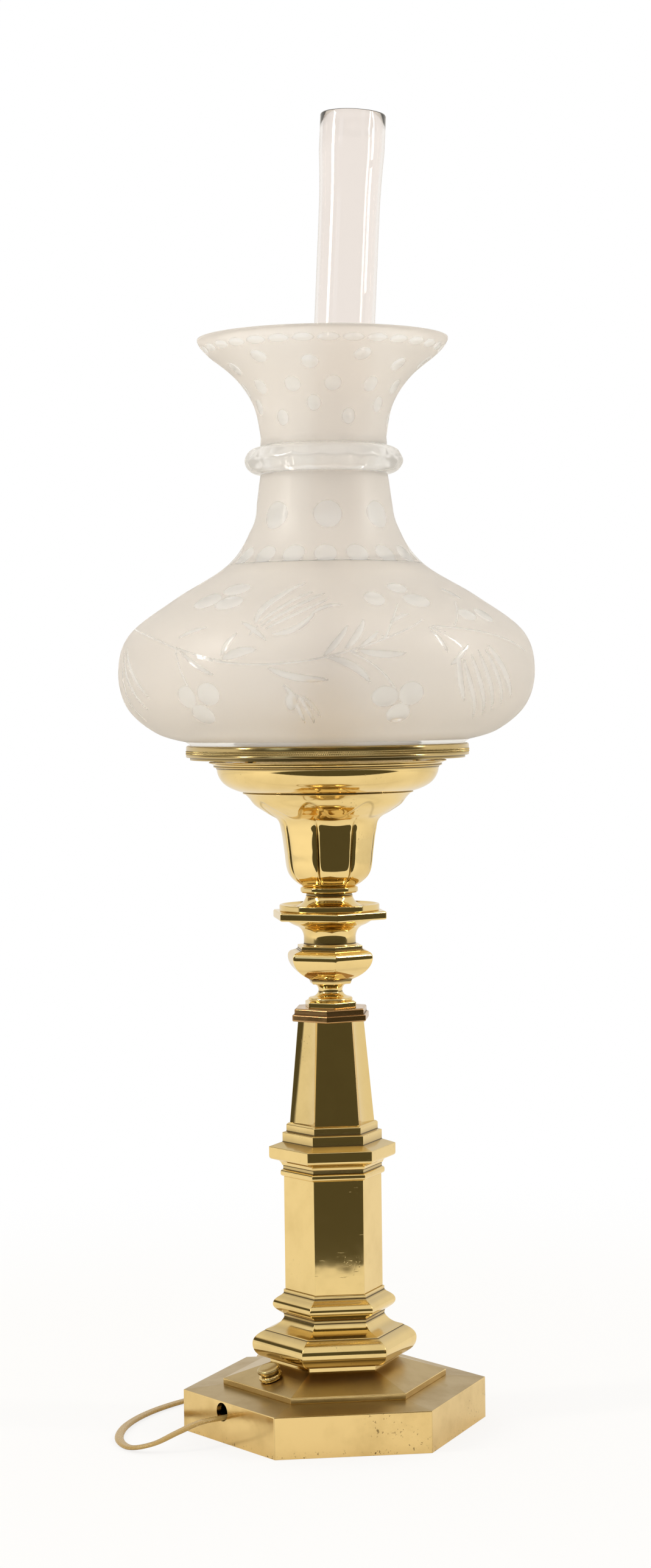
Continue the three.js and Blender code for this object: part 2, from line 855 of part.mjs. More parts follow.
function hexNut(radius, bore, bottom, top) {
  return cut(rodOf(radius, bottom, top, 6), rodOf(bore, bottom - overrun, top + overrun, 20));
}

function addRod() {
  add("tie_rod", tube(rod.radius, rod.bore, rod.foot, lockNutTop + rod.aboveNut, 20), steel);
  const barLength = 2 * (flangeInner - bar.short);
  const strip = new THREE.BoxGeometry(barLength, bar.width, bar.thickness);
  strip.translate(0, 0, barFoot + bar.thickness / 2);
  const barDrill = rodOf(rodClearance, barFoot - overrun, flangeUnder + overrun, 20);
  add("cross_bar", cut(closed(strip), barDrill), steel);
  const threadBore = rod.radius + gap;
  add("rod_washer", tube(washer.radius, threadBore, washerFoot, barFoot, 24), steel);
  add("rod_nut", hexNut(rodNut.radius, threadBore, washerFoot - rodNut.height, washerFoot), steel);
  add("top_locknut", hexNut(lockNut.radius, threadBore, galleryFloorTop, lockNutTop), brass);
}

// Socket and bulb
function addSocket() {
  const radius = chimney.radius - chimney.wall - socketCap.play;
  const webTop = lockNutTop + socketCap.web;
  const capTop = lockNutTop + socketCap.height;
  const shellTop = capTop + socketShell.height;
  const inner = radius - socketCap.wall;
  const capOutline = [
    corner(radius, lockNutTop),
    corner(radius, capTop),
    corner(inner, capTop),
    corner(inner, webTop),
    corner(rod.radius + gap, webTop),
    corner(rod.radius + gap, lockNutTop),
  ];
  add("socket_cap", turned(capOutline, 20), brass);
  add("socket_shell", tube(radius, inner, capTop, shellTop, 20), brass);
  const insulatorFloor = webTop + insulator.floor;
  const insulatorTop = shellTop - insulator.short;
  const insulatorOuter = inner - gap;
  const insulatorOutline = [
    corner(insulatorOuter, webTop),
    corner(insulatorOuter, insulatorTop),
    corner(insulator.bore, insulatorTop),
    corner(insulator.bore, insulatorFloor),
    corner(insulator.throat, insulatorFloor),
    corner(insulator.throat, webTop),
  ];
  add("socket_insulator", turned(insulatorOutline, 18), darkPlastic);
  const bulbFoot = insulatorFloor + gap;
  const glassFoot = shellTop + bulb.capAbove;
  add("bulb_cap", rodOf(insulator.bore - bulb.capPlay, bulbFoot, glassFoot, 20), brass);
  const outside = moulding(bulbShares, radius - bulb.glassInset, bulb.height, glassFoot, 3);
  const inside = inset(outside, bulb.wall).reverse();
  inside[0].x = 0;
  inside.at(-1).y = glassFoot;
  add("bulb_glass", turned([...outside, ...inside], 14), clearGlass);
  const riserTop = webTop - gap;
  add("riser_wire", rodOf(riser.radius, rod.foot - riser.belowRod, riserTop, 10), goldVinyl);
}

// Switch
function addSwitch() {
  const bodyTop = -step.wall - gap;
  const nutTop = gap + toggle.nutHeight;
  const knobFoot = nutTop + gap;
  const boreRadius = toggle.shaftRadius + gap;
  const shaftFoot = -toggle.shaftDepth;
  const bodyOutline = [
    corner(0, bodyTop - toggle.bodyDepth),
    corner(toggle.bodyRadius, bodyTop - toggle.bodyDepth),
    corner(toggle.bodyRadius, bodyTop),
    corner(toggle.stemRadius, bodyTop),
    corner(toggle.stemRadius, nutTop - gap),
    corner(boreRadius, nutTop - gap),
    corner(boreRadius, shaftFoot - gap),
    corner(0, shaftFoot - gap),
  ];
  part.add(toggleSeat);
  add("switch_body", turned(bodyOutline, 20), darkPlastic, toggleSeat);
  const nutOutline = moulding(nutShares, toggle.nutRadius, toggle.nutHeight, gap, 3);
  add("switch_nut", bored(nutOutline, toggle.stemRadius + gap, 20), brass, toggleSeat);
  const shaftTop = knobFoot + toggle.knobHeight - toggle.knobWeb;
  const knobOutline = moulding(knobShares, toggle.waist, toggle.knobHeight, knobFoot, 3);
  const knobTop = knobOutline.at(-1).y;
  const knobProfile = [
    corner(0, shaftTop),
    corner(boreRadius, shaftTop),
    corner(boreRadius, knobFoot),
    ...knobOutline,
    corner(0, knobTop),
  ];
  add("switch_knob", turned(knobProfile, 20), brass, toggleSeat);
  add("switch_shaft", rodOf(toggle.shaftRadius, shaftFoot, shaftTop - gap, 12), brass, toggleSeat);
}

// Cord, coil, tie and plug
const route = (points) => points.map((point) => new THREE.Vector3(...point));

// A flat cord along points: its wide side stays level, and its section follows the path.
function flatCord(points) {
  const rings = points.map((point, i) => {
    const before = points[Math.max(i - 1, 0)];
    const after = points[Math.min(i + 1, points.length - 1)];
    const run = after.clone().sub(before).normalize();
    const side = new THREE.Vector3(run.y, -run.x, 0).normalize();
    const up = side.clone().cross(run);
    return sectionShares.map(([across, rise]) =>
      point
        .clone()
        .addScaledVector(side, (across * cord.width) / 2)
        .addScaledVector(up, (rise * cord.thickness) / 2),
    );
  });
  return { rings, geometry: skin(rings, false) };
}

function alongRoute(points) {
  const curve = new THREE.CatmullRomCurve3(route(points), false, "centripetal");
  return curve.getSpacedPoints(Math.ceil(curve.getLength() / cord.stepLength));
}

// The coil's path: each layer spirals in or out, and the cord climbs in the half turn round each reversal.
function coilPoints() {
  const restHeight = cordRoute.at(-1)[2];
  const points = [new THREE.Vector3(coil.x - cord.width, coil.y - coil.radius, restHeight)];
  const turns = coil.turnsPerLayer * coil.layers;
  for (let i = 0; i <= turns * coilStepsPerTurn; i += 1) {
    const turn = i / coilStepsPerTurn;
    const layer = Math.floor(turn / coil.turnsPerLayer);
    const within = turn - layer * coil.turnsPerLayer;
    const wound = layer % 2 ? coil.turnsPerLayer - within : within;
    const radius = coil.radius - coil.ringPitch * wound;
    let climbed = 0;
    for (let k = 1; k < coil.layers; k += 1) {
      const reversal = k * coil.turnsPerLayer;
      climbed += THREE.MathUtils.smoothstep(turn, reversal - 0.25, reversal + 0.25);
    }
    const angle = turn * 2 * Math.PI - Math.PI / 2;
    const x = coil.x + Math.cos(angle) * radius;
    const y = coil.y + Math.sin(angle) * radius;
    points.push(new THREE.Vector3(x, y, restHeight + climbed * coil.layerPitch));
  }
  points.push(points.at(-1).clone().add(new THREE.Vector3(cord.width, 0, 0)));
  return points;
}

// The least distance between the edges of the cord's sections that lie half a turn or more apart.
function leastGap(rings) {
  const apart = coilStepsPerTurn / 2;
  let least = Infinity;
  for (let a = 0; a < rings.length; a += 1) {
    for (let b = a + apart; b < rings.length; b += 1) {
      for (const p of rings[a]) {
        for (const q of rings[b]) least = Math.min(least, p.distanceTo(q));
      }
    }
  }
  return least;
}

// A thin band round the bundle of turns on the far side of the coil.
function tieBand() {
  const widest = coil.radius - coil.ringPitch / 2 + cord.width / 2 + runningGap;
  const narrowest = coil.radius - coil.ringPitch * (coil.turnsPerLayer - 0.5) - cord.width / 2 - runningGap;
  const restHeight = cordRoute.at(-1)[2];
  const top = restHeight + coil.layerPitch * (coil.layers - 1) + cord.thickness / 2 + gap;
  const bottom = restHeight - cord.thickness / 2 - gap;
  const width = widest - narrowest;
  const height = top - bottom;
  const outer = new THREE.BoxGeometry(tie.width, width + 2 * tie.thickness, height + 2 * tie.thickness);
  const inner = new THREE.BoxGeometry(tie.width + overrun, width, height);
  const band = cut(closed(outer), closed(inner));
  band.translate(coil.x, coil.y + (widest + narrowest) / 2, (top + bottom) / 2);
  return band;
}

function addPlug() {
  const entry = route(tailRoute).at(-1);
  const back = entry.x + gap;
  const outline = new THREE.Shape();
  const halfBack = cord.width / 2 + plug.nose / 2;
  const halfWide = plug.width / 2;
  const shoulder = back + plug.nose;
  const faceX = back + plug.length;
  outline.moveTo(back, -halfBack);
  outline.quadraticCurveTo(shoulder, -halfBack, shoulder + plug.nose, -halfWide);
  outline.lineTo(faceX, -halfWide);
  outline.lineTo(faceX, halfWide);
  outline.lineTo(shoulder + plug.nose, halfWide);
  outline.quadraticCurveTo(shoulder, halfBack, back, halfBack);
  const settings = { depth: plug.height, bevelEnabled: false, curveSegments: 4 };
  const body = new THREE.ExtrudeGeometry(outline, settings);
  body.translate(0, entry.y, entry.z - plug.height / 2);
  add("plug_body", closed(body), goldVinyl);
  for (const side of [-1, 1]) {
    const pin = new THREE.BoxGeometry(plug.bladeLength, blade.thickness, plug.bladeWidth);
    pin.translate(faceX + plug.bladeLength / 2, entry.y + (side * blade.spacing) / 2, entry.z);
    add(side < 0 ? "plug_blade_1" : "plug_blade_2", closed(pin), steel);
  }
}

function addCord() {
  const cordHeight = cordRoute[0][2];
  const slope = radians(slopeDegrees);
  const axisApothem = toggleApothem - (toggleHeight - cordHeight - grip.radius) * Math.tan(slope);
  const gripFoot = axisApothem + toggle.bodyRadius / Math.cos(slope) + gap - plinth.radius * hexFlat;
  const held = tube(grip.radius, cord.width / 2 + gap, gripFoot, gripFoot + grip.length, 16);
  held.translate(cordHole.along, cordHeight - cordHole.height, 0);
  add("cord_grip", held, darkPlastic, cordSeat);
  part.add(cordSeat);
  const winding = flatCord(coilPoints());
  console.log("least gap in the coil " + leastGap(winding.rings).toFixed(2) + " mm");
  add("cord_coil", winding.geometry, goldVinyl);
  add("cord", flatCord(alongRoute(cordRoute)).geometry, goldVinyl);
  add("cord_tail", flatCord(alongRoute(tailRoute)).geometry, goldVinyl);
  add("cord_tie", tieBand(), darkPlastic);
  addPlug();
}

addBase();
addColumn();
addStem();
addFont();
addBurner();
addGlass();
addRod();
addSocket();
addSwitch();
addCord();

export default part;
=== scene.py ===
import json
import math

import bmesh
import bpy
import numpy as np
from mathutils import Matrix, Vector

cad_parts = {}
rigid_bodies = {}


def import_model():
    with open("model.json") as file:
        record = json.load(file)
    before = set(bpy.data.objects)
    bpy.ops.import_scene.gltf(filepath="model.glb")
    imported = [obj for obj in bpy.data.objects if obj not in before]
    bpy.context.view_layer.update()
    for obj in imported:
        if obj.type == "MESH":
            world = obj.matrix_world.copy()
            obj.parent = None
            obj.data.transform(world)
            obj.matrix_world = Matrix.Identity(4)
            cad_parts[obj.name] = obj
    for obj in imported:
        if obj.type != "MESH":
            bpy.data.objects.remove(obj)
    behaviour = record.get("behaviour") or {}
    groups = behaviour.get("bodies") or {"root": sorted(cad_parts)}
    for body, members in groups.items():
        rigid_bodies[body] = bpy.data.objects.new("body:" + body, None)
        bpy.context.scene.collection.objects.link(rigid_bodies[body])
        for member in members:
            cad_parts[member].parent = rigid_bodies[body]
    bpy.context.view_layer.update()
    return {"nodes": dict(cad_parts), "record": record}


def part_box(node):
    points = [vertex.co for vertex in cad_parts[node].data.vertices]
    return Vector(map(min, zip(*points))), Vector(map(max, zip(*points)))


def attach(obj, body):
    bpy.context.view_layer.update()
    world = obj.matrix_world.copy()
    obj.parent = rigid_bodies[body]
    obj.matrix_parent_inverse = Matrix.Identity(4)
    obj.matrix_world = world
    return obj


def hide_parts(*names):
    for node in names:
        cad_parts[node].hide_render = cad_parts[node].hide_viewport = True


# %% [markdown]
# # A brass solar lamp
# The lamp is a stack of brass mouldings clamped on one rod. The base and the column are mitred hexagons,
# the stem is partly turned and partly hexagonal, and the font is a lobed cup under a wide bowl. A cut and
# frosted glass shade sits on a milled ring, and a clear chimney leans in its gallery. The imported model
# gives every size, so this notebook only adds what its flat facets can't show: the curves, the cutting
# of the glass, the polish and the wear.

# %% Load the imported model
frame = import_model()
MM = 0.001

# %% [markdown]
# ## The camera
# The camera stands 1.73 m in front of the lamp at a little more than half its height, looks down by less
# than two degrees and sees the front face of the base turned by seven. Its focal length is worked out in
# pixels of the 1069 by 2576 picture, and the sensor's 36 mm lie along the longer side.

# %% Camera
PICTURE_HEIGHT_PX = 2576
FOCAL_PX = 4809
SENSOR = 36
CAMERA_PLACE = np.array([-222.3, -1717.0, 431.2]) * MM
CAMERA_YAW, CAMERA_DOWN, CAMERA_ROLL = np.radians([7.33, 1.665, 0.713])


def camera_axes(yaw, down, roll):
    """Right, up and backward directions of a camera that looks along +Y turned by yaw towards +X."""
    level = np.array([math.sin(yaw), math.cos(yaw), 0])
    right = np.array([math.cos(yaw), -math.sin(yaw), 0])
    forward = level * math.cos(down) - np.array([0, 0, math.sin(down)])
    up = np.cross(right, forward)
    turned_right = right * math.cos(roll) - up * math.sin(roll)
    turned_up = right * math.sin(roll) + up * math.cos(roll)
    return turned_right, turned_up, -forward


camera_data = bpy.data.cameras.new("camera")
camera_data.sensor_width = SENSOR
camera_data.lens = FOCAL_PX * SENSOR / PICTURE_HEIGHT_PX
camera_data.clip_start = 0.1
camera_data.clip_end = 20
camera = bpy.data.objects.new("camera", camera_data)
bpy.context.scene.collection.objects.link(camera)
placement = np.eye(4)
placement[:3, :3] = np.column_stack(camera_axes(CAMERA_YAW, CAMERA_DOWN, CAMERA_ROLL))
placement[:3, 3] = CAMERA_PLACE
camera.matrix_world = Matrix(placement.tolist())
bpy.context.scene.camera = camera
print("lens", round(camera_data.lens, 2), "mm")

# %% [markdown]
# ## Formulas that many pieces share
# Most pieces are worked out from angles that go once round, from shares that run smoothly from 0 to 1, and
# from circles pushed out towards squares. Each of these is one line of numpy, so each is a small function.


# %% Shared formulas
def once_round(count):
    """Evenly spaced angles, from zero to one step before a full turn."""
    return np.arange(count) * 2 * math.pi / count


def smooth_step(share):
    """3 s^2 - 2 s^3, which leaves 0 and reaches 1 without a corner."""
    return share**2 * (3 - 2 * share)


def squared(wave, power):
    """|wave|^power with the wave's own sign; a power below 1 pushes a circle out towards a square."""
    return np.sign(wave) * np.abs(wave) ** power


print("a quarter of the way, the smooth step has risen to", smooth_step(0.25))

# %% [markdown]
# ## Surfaces on a grid
# Every new piece is a grid of points: rows run along a profile or a path, and columns run round it. One
# helper turns such a grid into a closed mesh. It works out the enclosed volume from the faces, and turns
# them all round where that comes out negative, so the faces always point outwards.

# %% Grid to mesh
MERGE_DISTANCE, LEAST_EDGE, DRILL_SIDES = 1e-6, 1e-7, 48


def surface(name, grid, loop_rows=False, capped=False, attributes=None):
    """A mesh whose quads join each grid point to the next in its row and in its column; columns close
    on themselves, rows too where loop_rows is set. capped closes the first and the last row."""
    rows, columns = grid.shape[:2]
    index = np.arange(rows * columns).reshape(rows, columns)
    low = index if loop_rows else index[:-1]
    high = np.roll(index, -1, axis=0) if loop_rows else index[1:]
    quads = np.stack([low, np.roll(low, -1, axis=1), np.roll(high, -1, axis=1), high], axis=-1)
    quads = quads.reshape(-1, 4)
    points = grid.reshape(-1, 3)
    a, b, c, d = (points[quads[:, k]] for k in range(4))
    volume = np.einsum("ij,ij->", a, np.cross(b, c)) + np.einsum("ij,ij->", a, np.cross(c, d))
    if volume < 0:
        quads = quads[:, ::-1]
    faces = quads.tolist()
    if capped:
        ends = [index[0].tolist(), index[-1].tolist()]
        faces += [ends[0][::-1], ends[1]] if volume > 0 else [ends[0], ends[1][::-1]]
    mesh = bpy.data.meshes.new(name)
    mesh.from_pydata(points.tolist(), [], faces)
    for key, values in (attributes or {}).items():
        layer = mesh.attributes.new(key, "FLOAT", "POINT")
        layer.data.foreach_set("value", np.ascontiguousarray(values, dtype=np.float32).ravel())
    tidy = bmesh.new()
    tidy.from_mesh(mesh)
    bmesh.ops.remove_doubles(tidy, verts=tidy.verts, dist=MERGE_DISTANCE)
    bmesh.ops.dissolve_degenerate(tidy, edges=tidy.edges, dist=LEAST_EDGE)
    tidy.to_mesh(mesh)
    tidy.free()
    mesh.polygons.foreach_set("use_smooth", np.ones(len(mesh.polygons), dtype=bool))
    piece = bpy.data.objects.new(name, mesh)
    bpy.context.scene.collection.objects.link(piece)
    return piece


def place(piece, body, slot, material, *nodes):
    """Lets a piece ride on a body in the place of CAD nodes, and gives it its material; slot is not used."""
    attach(piece, body)
    if nodes:
        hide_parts(*nodes)
    piece.data.materials.clear()
    piece.data.materials.append(material)
    return piece


def drilled(piece, low_end, high_end, radius):
    """Cuts a round hole between two points: the drill is a closed tube of circles square to its path,
    and an exact boolean takes it away."""
    path = np.linspace(low_end, high_end, 2)
    run = (path[1] - path[0]) / np.linalg.norm(path[1] - path[0])
    side = np.cross(run, [0, 0, 1])
    side /= np.linalg.norm(side)
    up = np.cross(side, run)
    angle = once_round(DRILL_SIDES)
    circle = np.cos(angle)[:, None] * side + np.sin(angle)[:, None] * up
    drill = surface(piece.name + "_drill", path[:, None] + radius * circle[None], capped=True)
    cut = piece.modifiers.new("hole", "BOOLEAN")
    cut.object = drill
    cut.solver = "EXACT"
    bpy.context.view_layer.update()
    done = bpy.data.meshes.new_from_object(piece.evaluated_get(bpy.context.evaluated_depsgraph_get()))
    piece.modifiers.clear()
    piece.data = done
    bpy.data.objects.remove(drill)


print("mesh helpers: surface, place and drilled")

# %% [markdown]
# ## Outlines
# A moulding is drawn as shares of its radius and height, taken from the node's own box. Two shares end a
# straight run, four give a curve's control point and end, and six give two control points and the end.
# A real casting has no knife edges, so each corner is then eased: it becomes a small curve with a point
# left on each side of it, which keeps the flats flat when the mesh is shaded smooth.

# %% Outline helpers
SHARP_TURN, EASE_SHARE = math.radians(14), 0.22
CORNER_RESIDUE_SHADE_FADE = np.array([0.35, 0.8, 1, 0.8, 0.35])


def trace(shares, radius, height, base, steps=8):
    """Curved runs through the shares. Each run is the sum of its control points, and point k of n weighs
    (n over k) t^k (1 - t)^(n - k)."""
    sized = [np.array(run).reshape(-1, 2) * [radius, height] + [0, base] for run in shares]
    here = sized[0][-1]
    points = [here[None]]
    for run in sized[1:]:
        controls = np.vstack([here, run])
        order = len(controls) - 1
        t = np.linspace(0, 1, 2 if order == 1 else steps + 1)[1:, None]
        terms = [math.comb(order, k) * t**k * (1 - t) ** (order - k) for k in range(order + 1)]
        points.append(sum(term * control for term, control in zip(terms, controls)))
        here = run[-1]
    return np.vstack(points)


def through(knots, spans_steps):
    """A smooth curve through knots: a cubic between each pair, whose slope at a knot is half the step
    from the knot before to the knot after. The first and the last knot count twice."""
    knots = np.array(knots)
    ends = np.vstack([knots[:1], knots, knots[-1:]])
    t = np.linspace(0, 1, spans_steps, endpoint=False)[None, :, None]
    p0, p1, p2, p3 = (ends[k : len(ends) - 3 + k, None] for k in range(4))
    cubic = 2 * p1 + (p2 - p0) * t + (2 * p0 - 5 * p1 + 4 * p2 - p3) * t**2
    cubic = (cubic + (3 * p1 - p0 - 3 * p2 + p3) * t**3) / 2
    return np.vstack([cubic.reshape(-1, knots.shape[1]), knots[-1:]])


def outward(points):
    """Unit normals on the right of the line, which point away from the axis where the line climbs."""
    run = np.gradient(points, axis=0)
    run /= np.linalg.norm(run, axis=1, keepdims=True)
    return np.column_stack([run[:, 1], -run[:, 0]])


def turning(points):
    """The angle by which a closed outline turns at each point, positive where it bulges outwards."""
    before = points - np.roll(points, 1, axis=0)
    after = np.roll(points, -1, axis=0) - points
    cross = before[:, 0] * after[:, 1] - before[:, 1] * after[:, 0]
    return np.arctan2(cross, np.einsum("ij,ij->i", before, after))


def eased(points, ease):
    """A closed outline whose sharp corners are small curves, with its mask of residue and painted shade. A
    sharp
    corner becomes five points: one and two steps back, the corner drawn in by a quarter of both first steps,
    and one and two steps ahead. The mask is 1 in a hollow corner and fades on both sides of it; it darkens
    the brass there, partly as polish residue and partly as painted shade."""
    area = np.sum(points[:, 0] * np.roll(points[:, 1], -1) - np.roll(points[:, 0], -1) * points[:, 1])
    points = points if area > 0 else points[::-1]
    back = np.roll(points, 1, axis=0) - points
    ahead = np.roll(points, -1, axis=0) - points
    back_length = np.linalg.norm(back, axis=1, keepdims=True)
    ahead_length = np.linalg.norm(ahead, axis=1, keepdims=True)
    near_back = back / back_length * np.minimum(ease, back_length * EASE_SHARE)
    near_ahead = ahead / ahead_length * np.minimum(ease, ahead_length * EASE_SHARE)
    quarter = (near_back + near_ahead) / 4
    places = [2 * near_back, near_back, quarter, near_ahead, 2 * near_ahead]
    five = points[:, None] + np.stack(places, axis=1)
    turn = turning(points)
    sharp = np.abs(turn) > SHARP_TURN
    keep = np.zeros((len(points), 5), dtype=bool)
    keep[:, 2] = True
    keep[sharp] = True
    smooth = five.copy()
    smooth[~sharp, 2] = points[~sharp]
    # Hollow corners are marked for darkening: partly polish residue, partly painted shade.
    hollow = np.where(turn < -SHARP_TURN, 1.0, 0.0)
    crevice = hollow[:, None] * CORNER_RESIDUE_SHADE_FADE
    return smooth[keep], crevice[keep]


square = np.array([(0, 0), (1, 0), (1, 1), (0, 1)], dtype=float)
print("a square's outline eases to", len(eased(square, 0.1)[0]), "points")

# %% [markdown]
# ## Turned and mitred forms
# A turned piece carries its outline round a circle. A mitred one carries it round a hexagon whose corners
# are rounded by a fraction of a millimetre: each ring point is the corner's centre, plus the rounding's
# radius in the direction it faces, plus a short step along the flat that keeps the flat's shading true.

# %% Rings
HEX_FLAT = math.cos(math.pi / 6)
CORNER_ROUNDING = 0.45 * MM
FLAT_STEP = 1.2 * MM
CORNER_ANGLES = np.radians([-30, -30, -15, 0, 15, 30, 30])
CORNER_STEPS = np.array([-1, 0, 0, 0, 0, 0, 1]) * FLAT_STEP
CORNER_MIDDLE = len(CORNER_ANGLES) // 2
LEAST_UP, UP_FADE = 0.75, 0.15
CORNER_EASE = 0.3 * MM


def heading(angle):
    """Unit vectors at angles from the front of the lamp, seen from above, turning towards +X."""
    return np.stack([np.sin(angle), -np.cos(angle)], axis=-1)


def round_ring(radii, sides):
    """Circle points for each radius: radius times the heading."""
    return radii[:, None, None] * heading(once_round(sides))[None]


def hex_ring(radii, turn_degrees=0.0):
    """Hexagon points for each circumradius: corner centre, plus rounding times the way it faces, plus the
    step along the flat."""
    corner = np.repeat(np.radians(30 + turn_degrees + 60 * np.arange(6)), len(CORNER_ANGLES))
    facing = corner + np.tile(CORNER_ANGLES, 6)
    step = np.tile(CORNER_STEPS, 6)
    centre = (radii[:, None, None] - CORNER_ROUNDING / HEX_FLAT) * heading(corner)[None]
    along = heading(facing + math.pi / 2) * step[:, None]
    return centre + (CORNER_ROUNDING * heading(facing) + along)[None]


def scalloped_ring(radii, lobes, depth, least):
    """Circle points whose radius, where it is over least, drops by depth times
    1 - |cos(lobes angle / 2)|."""
    angle = once_round(lobes * 8)
    dip = depth * (1 - np.abs(np.cos(lobes * angle / 2)))
    dipped = radii[:, None] - dip * (radii[:, None] > least)
    return dipped[..., None] * heading(angle)[None]


def facing_up(outline):
    """How far a closed outline, drawn anticlockwise, faces up: 0 where it leans by over forty degrees from
    level, and 1 where it leans by less than twenty-five."""
    run = np.roll(outline, -1, axis=0) - np.roll(outline, 1, axis=0)
    up = -run[:, 0] / np.maximum(np.linalg.norm(run, axis=1), 1e-9)
    return np.clip((up - LEAST_UP) / UP_FADE, 0, 1)


def lifted(flat, heights):
    """A grid of points from rings of (x, y), with one height for each ring."""
    tall = np.broadcast_to(heights[:, None, None], (*flat.shape[:2], 1))
    return np.concatenate([flat, tall], axis=-1)


def revolve(name, outline, ring, upward_shade=0.0, seams=0.0, **ring_words):
    """Carries a closed outline of (radius, height) round a ring. What faces up is darkened as painted
    shade, and seams darken the mitred corners of a hexagon."""
    points, crevice = eased(outline, CORNER_EASE)
    # Faces that look up get painted shade, on top of the corners' residue and shade.
    crevice = np.maximum(crevice, upward_shade * facing_up(points))
    flat = ring(points[:, 0], **ring_words)
    seam = seams * (np.arange(flat.shape[1]) % len(CORNER_ANGLES) == CORNER_MIDDLE)
    mask = np.maximum(crevice[:, None], seam[None])
    return surface(name, lifted(flat, points[:, 1]), loop_rows=True, attributes={"crevice": mask})


def bored(outline, bore):
    """Closes an outline with a straight bore."""
    return np.vstack([outline, [[bore, outline[-1, 1]], [bore, outline[0, 1]]]])


print("a hexagon's flats stand at", round(HEX_FLAT, 4), "of its corners' radius")

# %% [markdown]
# ## Brass
# Polished brass is a mirror with a colour, so most of its look is what it reflects. What is left is age:
# cloudy patches where the polish has dulled, hair scratches and small pits. Inner corners are darkened,
# partly as polish residue and partly as painted shade, and faces that look up take a painted shade too.
# One node group works these out, and each brass takes its own amounts from it.


# %% Node helpers
def new_group(name, inputs, outputs):
    """A shader node group with the named sockets; returns it with its two end nodes."""
    group = bpy.data.node_groups.new(name, "ShaderNodeTree")
    for label, kind, value in inputs:
        socket = group.interface.new_socket(label, in_out="INPUT", socket_type=kind)
        if value is not None:
            socket.default_value = value
    for label, kind in outputs:
        group.interface.new_socket(label, in_out="OUTPUT", socket_type=kind)
    start = group.nodes.new("NodeGroupInput")
    end = group.nodes.new("NodeGroupOutput")
    return group, start, end


def fill(tree, made, values):
    """Joins each named or numbered input of a node to a socket, or gives it a plain value."""
    for key, value in values.items():
        if isinstance(value, bpy.types.NodeSocket):
            tree.links.new(value, made.inputs[key])
        else:
            made.inputs[key].default_value = value
    return made


def node(tree, kind, settings=None, **inputs):
    """Adds a node; settings are its properties. An input goes by its name, or as i0, i1 and so on by its
    number."""
    made = tree.nodes.new(kind)
    for key, value in (settings or {}).items():
        setattr(made, key, value)
    keys = [int(key[1:]) if key[1:].isdigit() else key for key in inputs]
    return fill(tree, made, dict(zip(keys, inputs.values())))


def stored(tree, name):
    """A number kept under a name on the points of the mesh."""
    return node(tree, "ShaderNodeAttribute", {"attribute_name": name}).outputs["Fac"]


def noise(tree, coordinates, scale, detail, roughness=0.5):
    """Cloudy noise; scale is its number of waves to a metre."""
    words = {"Scale": scale, "Detail": detail, "Roughness": roughness}
    return node(tree, "ShaderNodeTexNoise", Vector=coordinates, **words).outputs["Fac"]


def remap(tree, value, low, high, out_low=0.0, out_high=1.0):
    """Maps a range to another, clamped, with smooth ends."""
    made = node(tree, "ShaderNodeMapRange", {"interpolation_type": "SMOOTHSTEP"})
    limits = {"From Min": low, "From Max": high, "To Min": out_low, "To Max": out_high}
    return fill(tree, made, {"Value": value, **limits}).outputs["Result"]


def arithmetic(tree, operation, first, second, clamped=False):
    """One sum on two sockets or numbers; clamped keeps the result between 0 and 1."""
    settings = {"operation": operation, "use_clamp": clamped}
    return node(tree, "ShaderNodeMath", settings, i0=first, i1=second).outputs[0]


def blended(tree, factor, first, second):
    """Mixes two colours."""
    made = node(tree, "ShaderNodeMix", {"data_type": "RGBA"}, i0=factor, i6=first, i7=second)
    return made.outputs[2]


print("node helpers: new_group, fill, node, stored, noise, remap, arithmetic and blended")

# %% [markdown]
# The wear group reads the place on the lamp and the mask of residue and painted shade. Clouds of dullness
# blend the bright colour with the dull one and roughen it. Hair scratches are noise squeezed hard along one
# axis. Pits are fine specks, kept where a wider noise allows them and all along the lowest millimetres of
# the base. The pits and the mask both darken towards one near-black colour, so that colour is partly painted
# shade.


# %% Wear group
def hair_lines(tree, coordinates, squeeze, turn):
    """Noise over turned coordinates that are squeezed hard along one axis."""
    squeezed = node(tree, "ShaderNodeMapping", Vector=coordinates, Scale=squeeze, Rotation=turn)
    return noise(tree, squeezed.outputs[0], 1, 3)


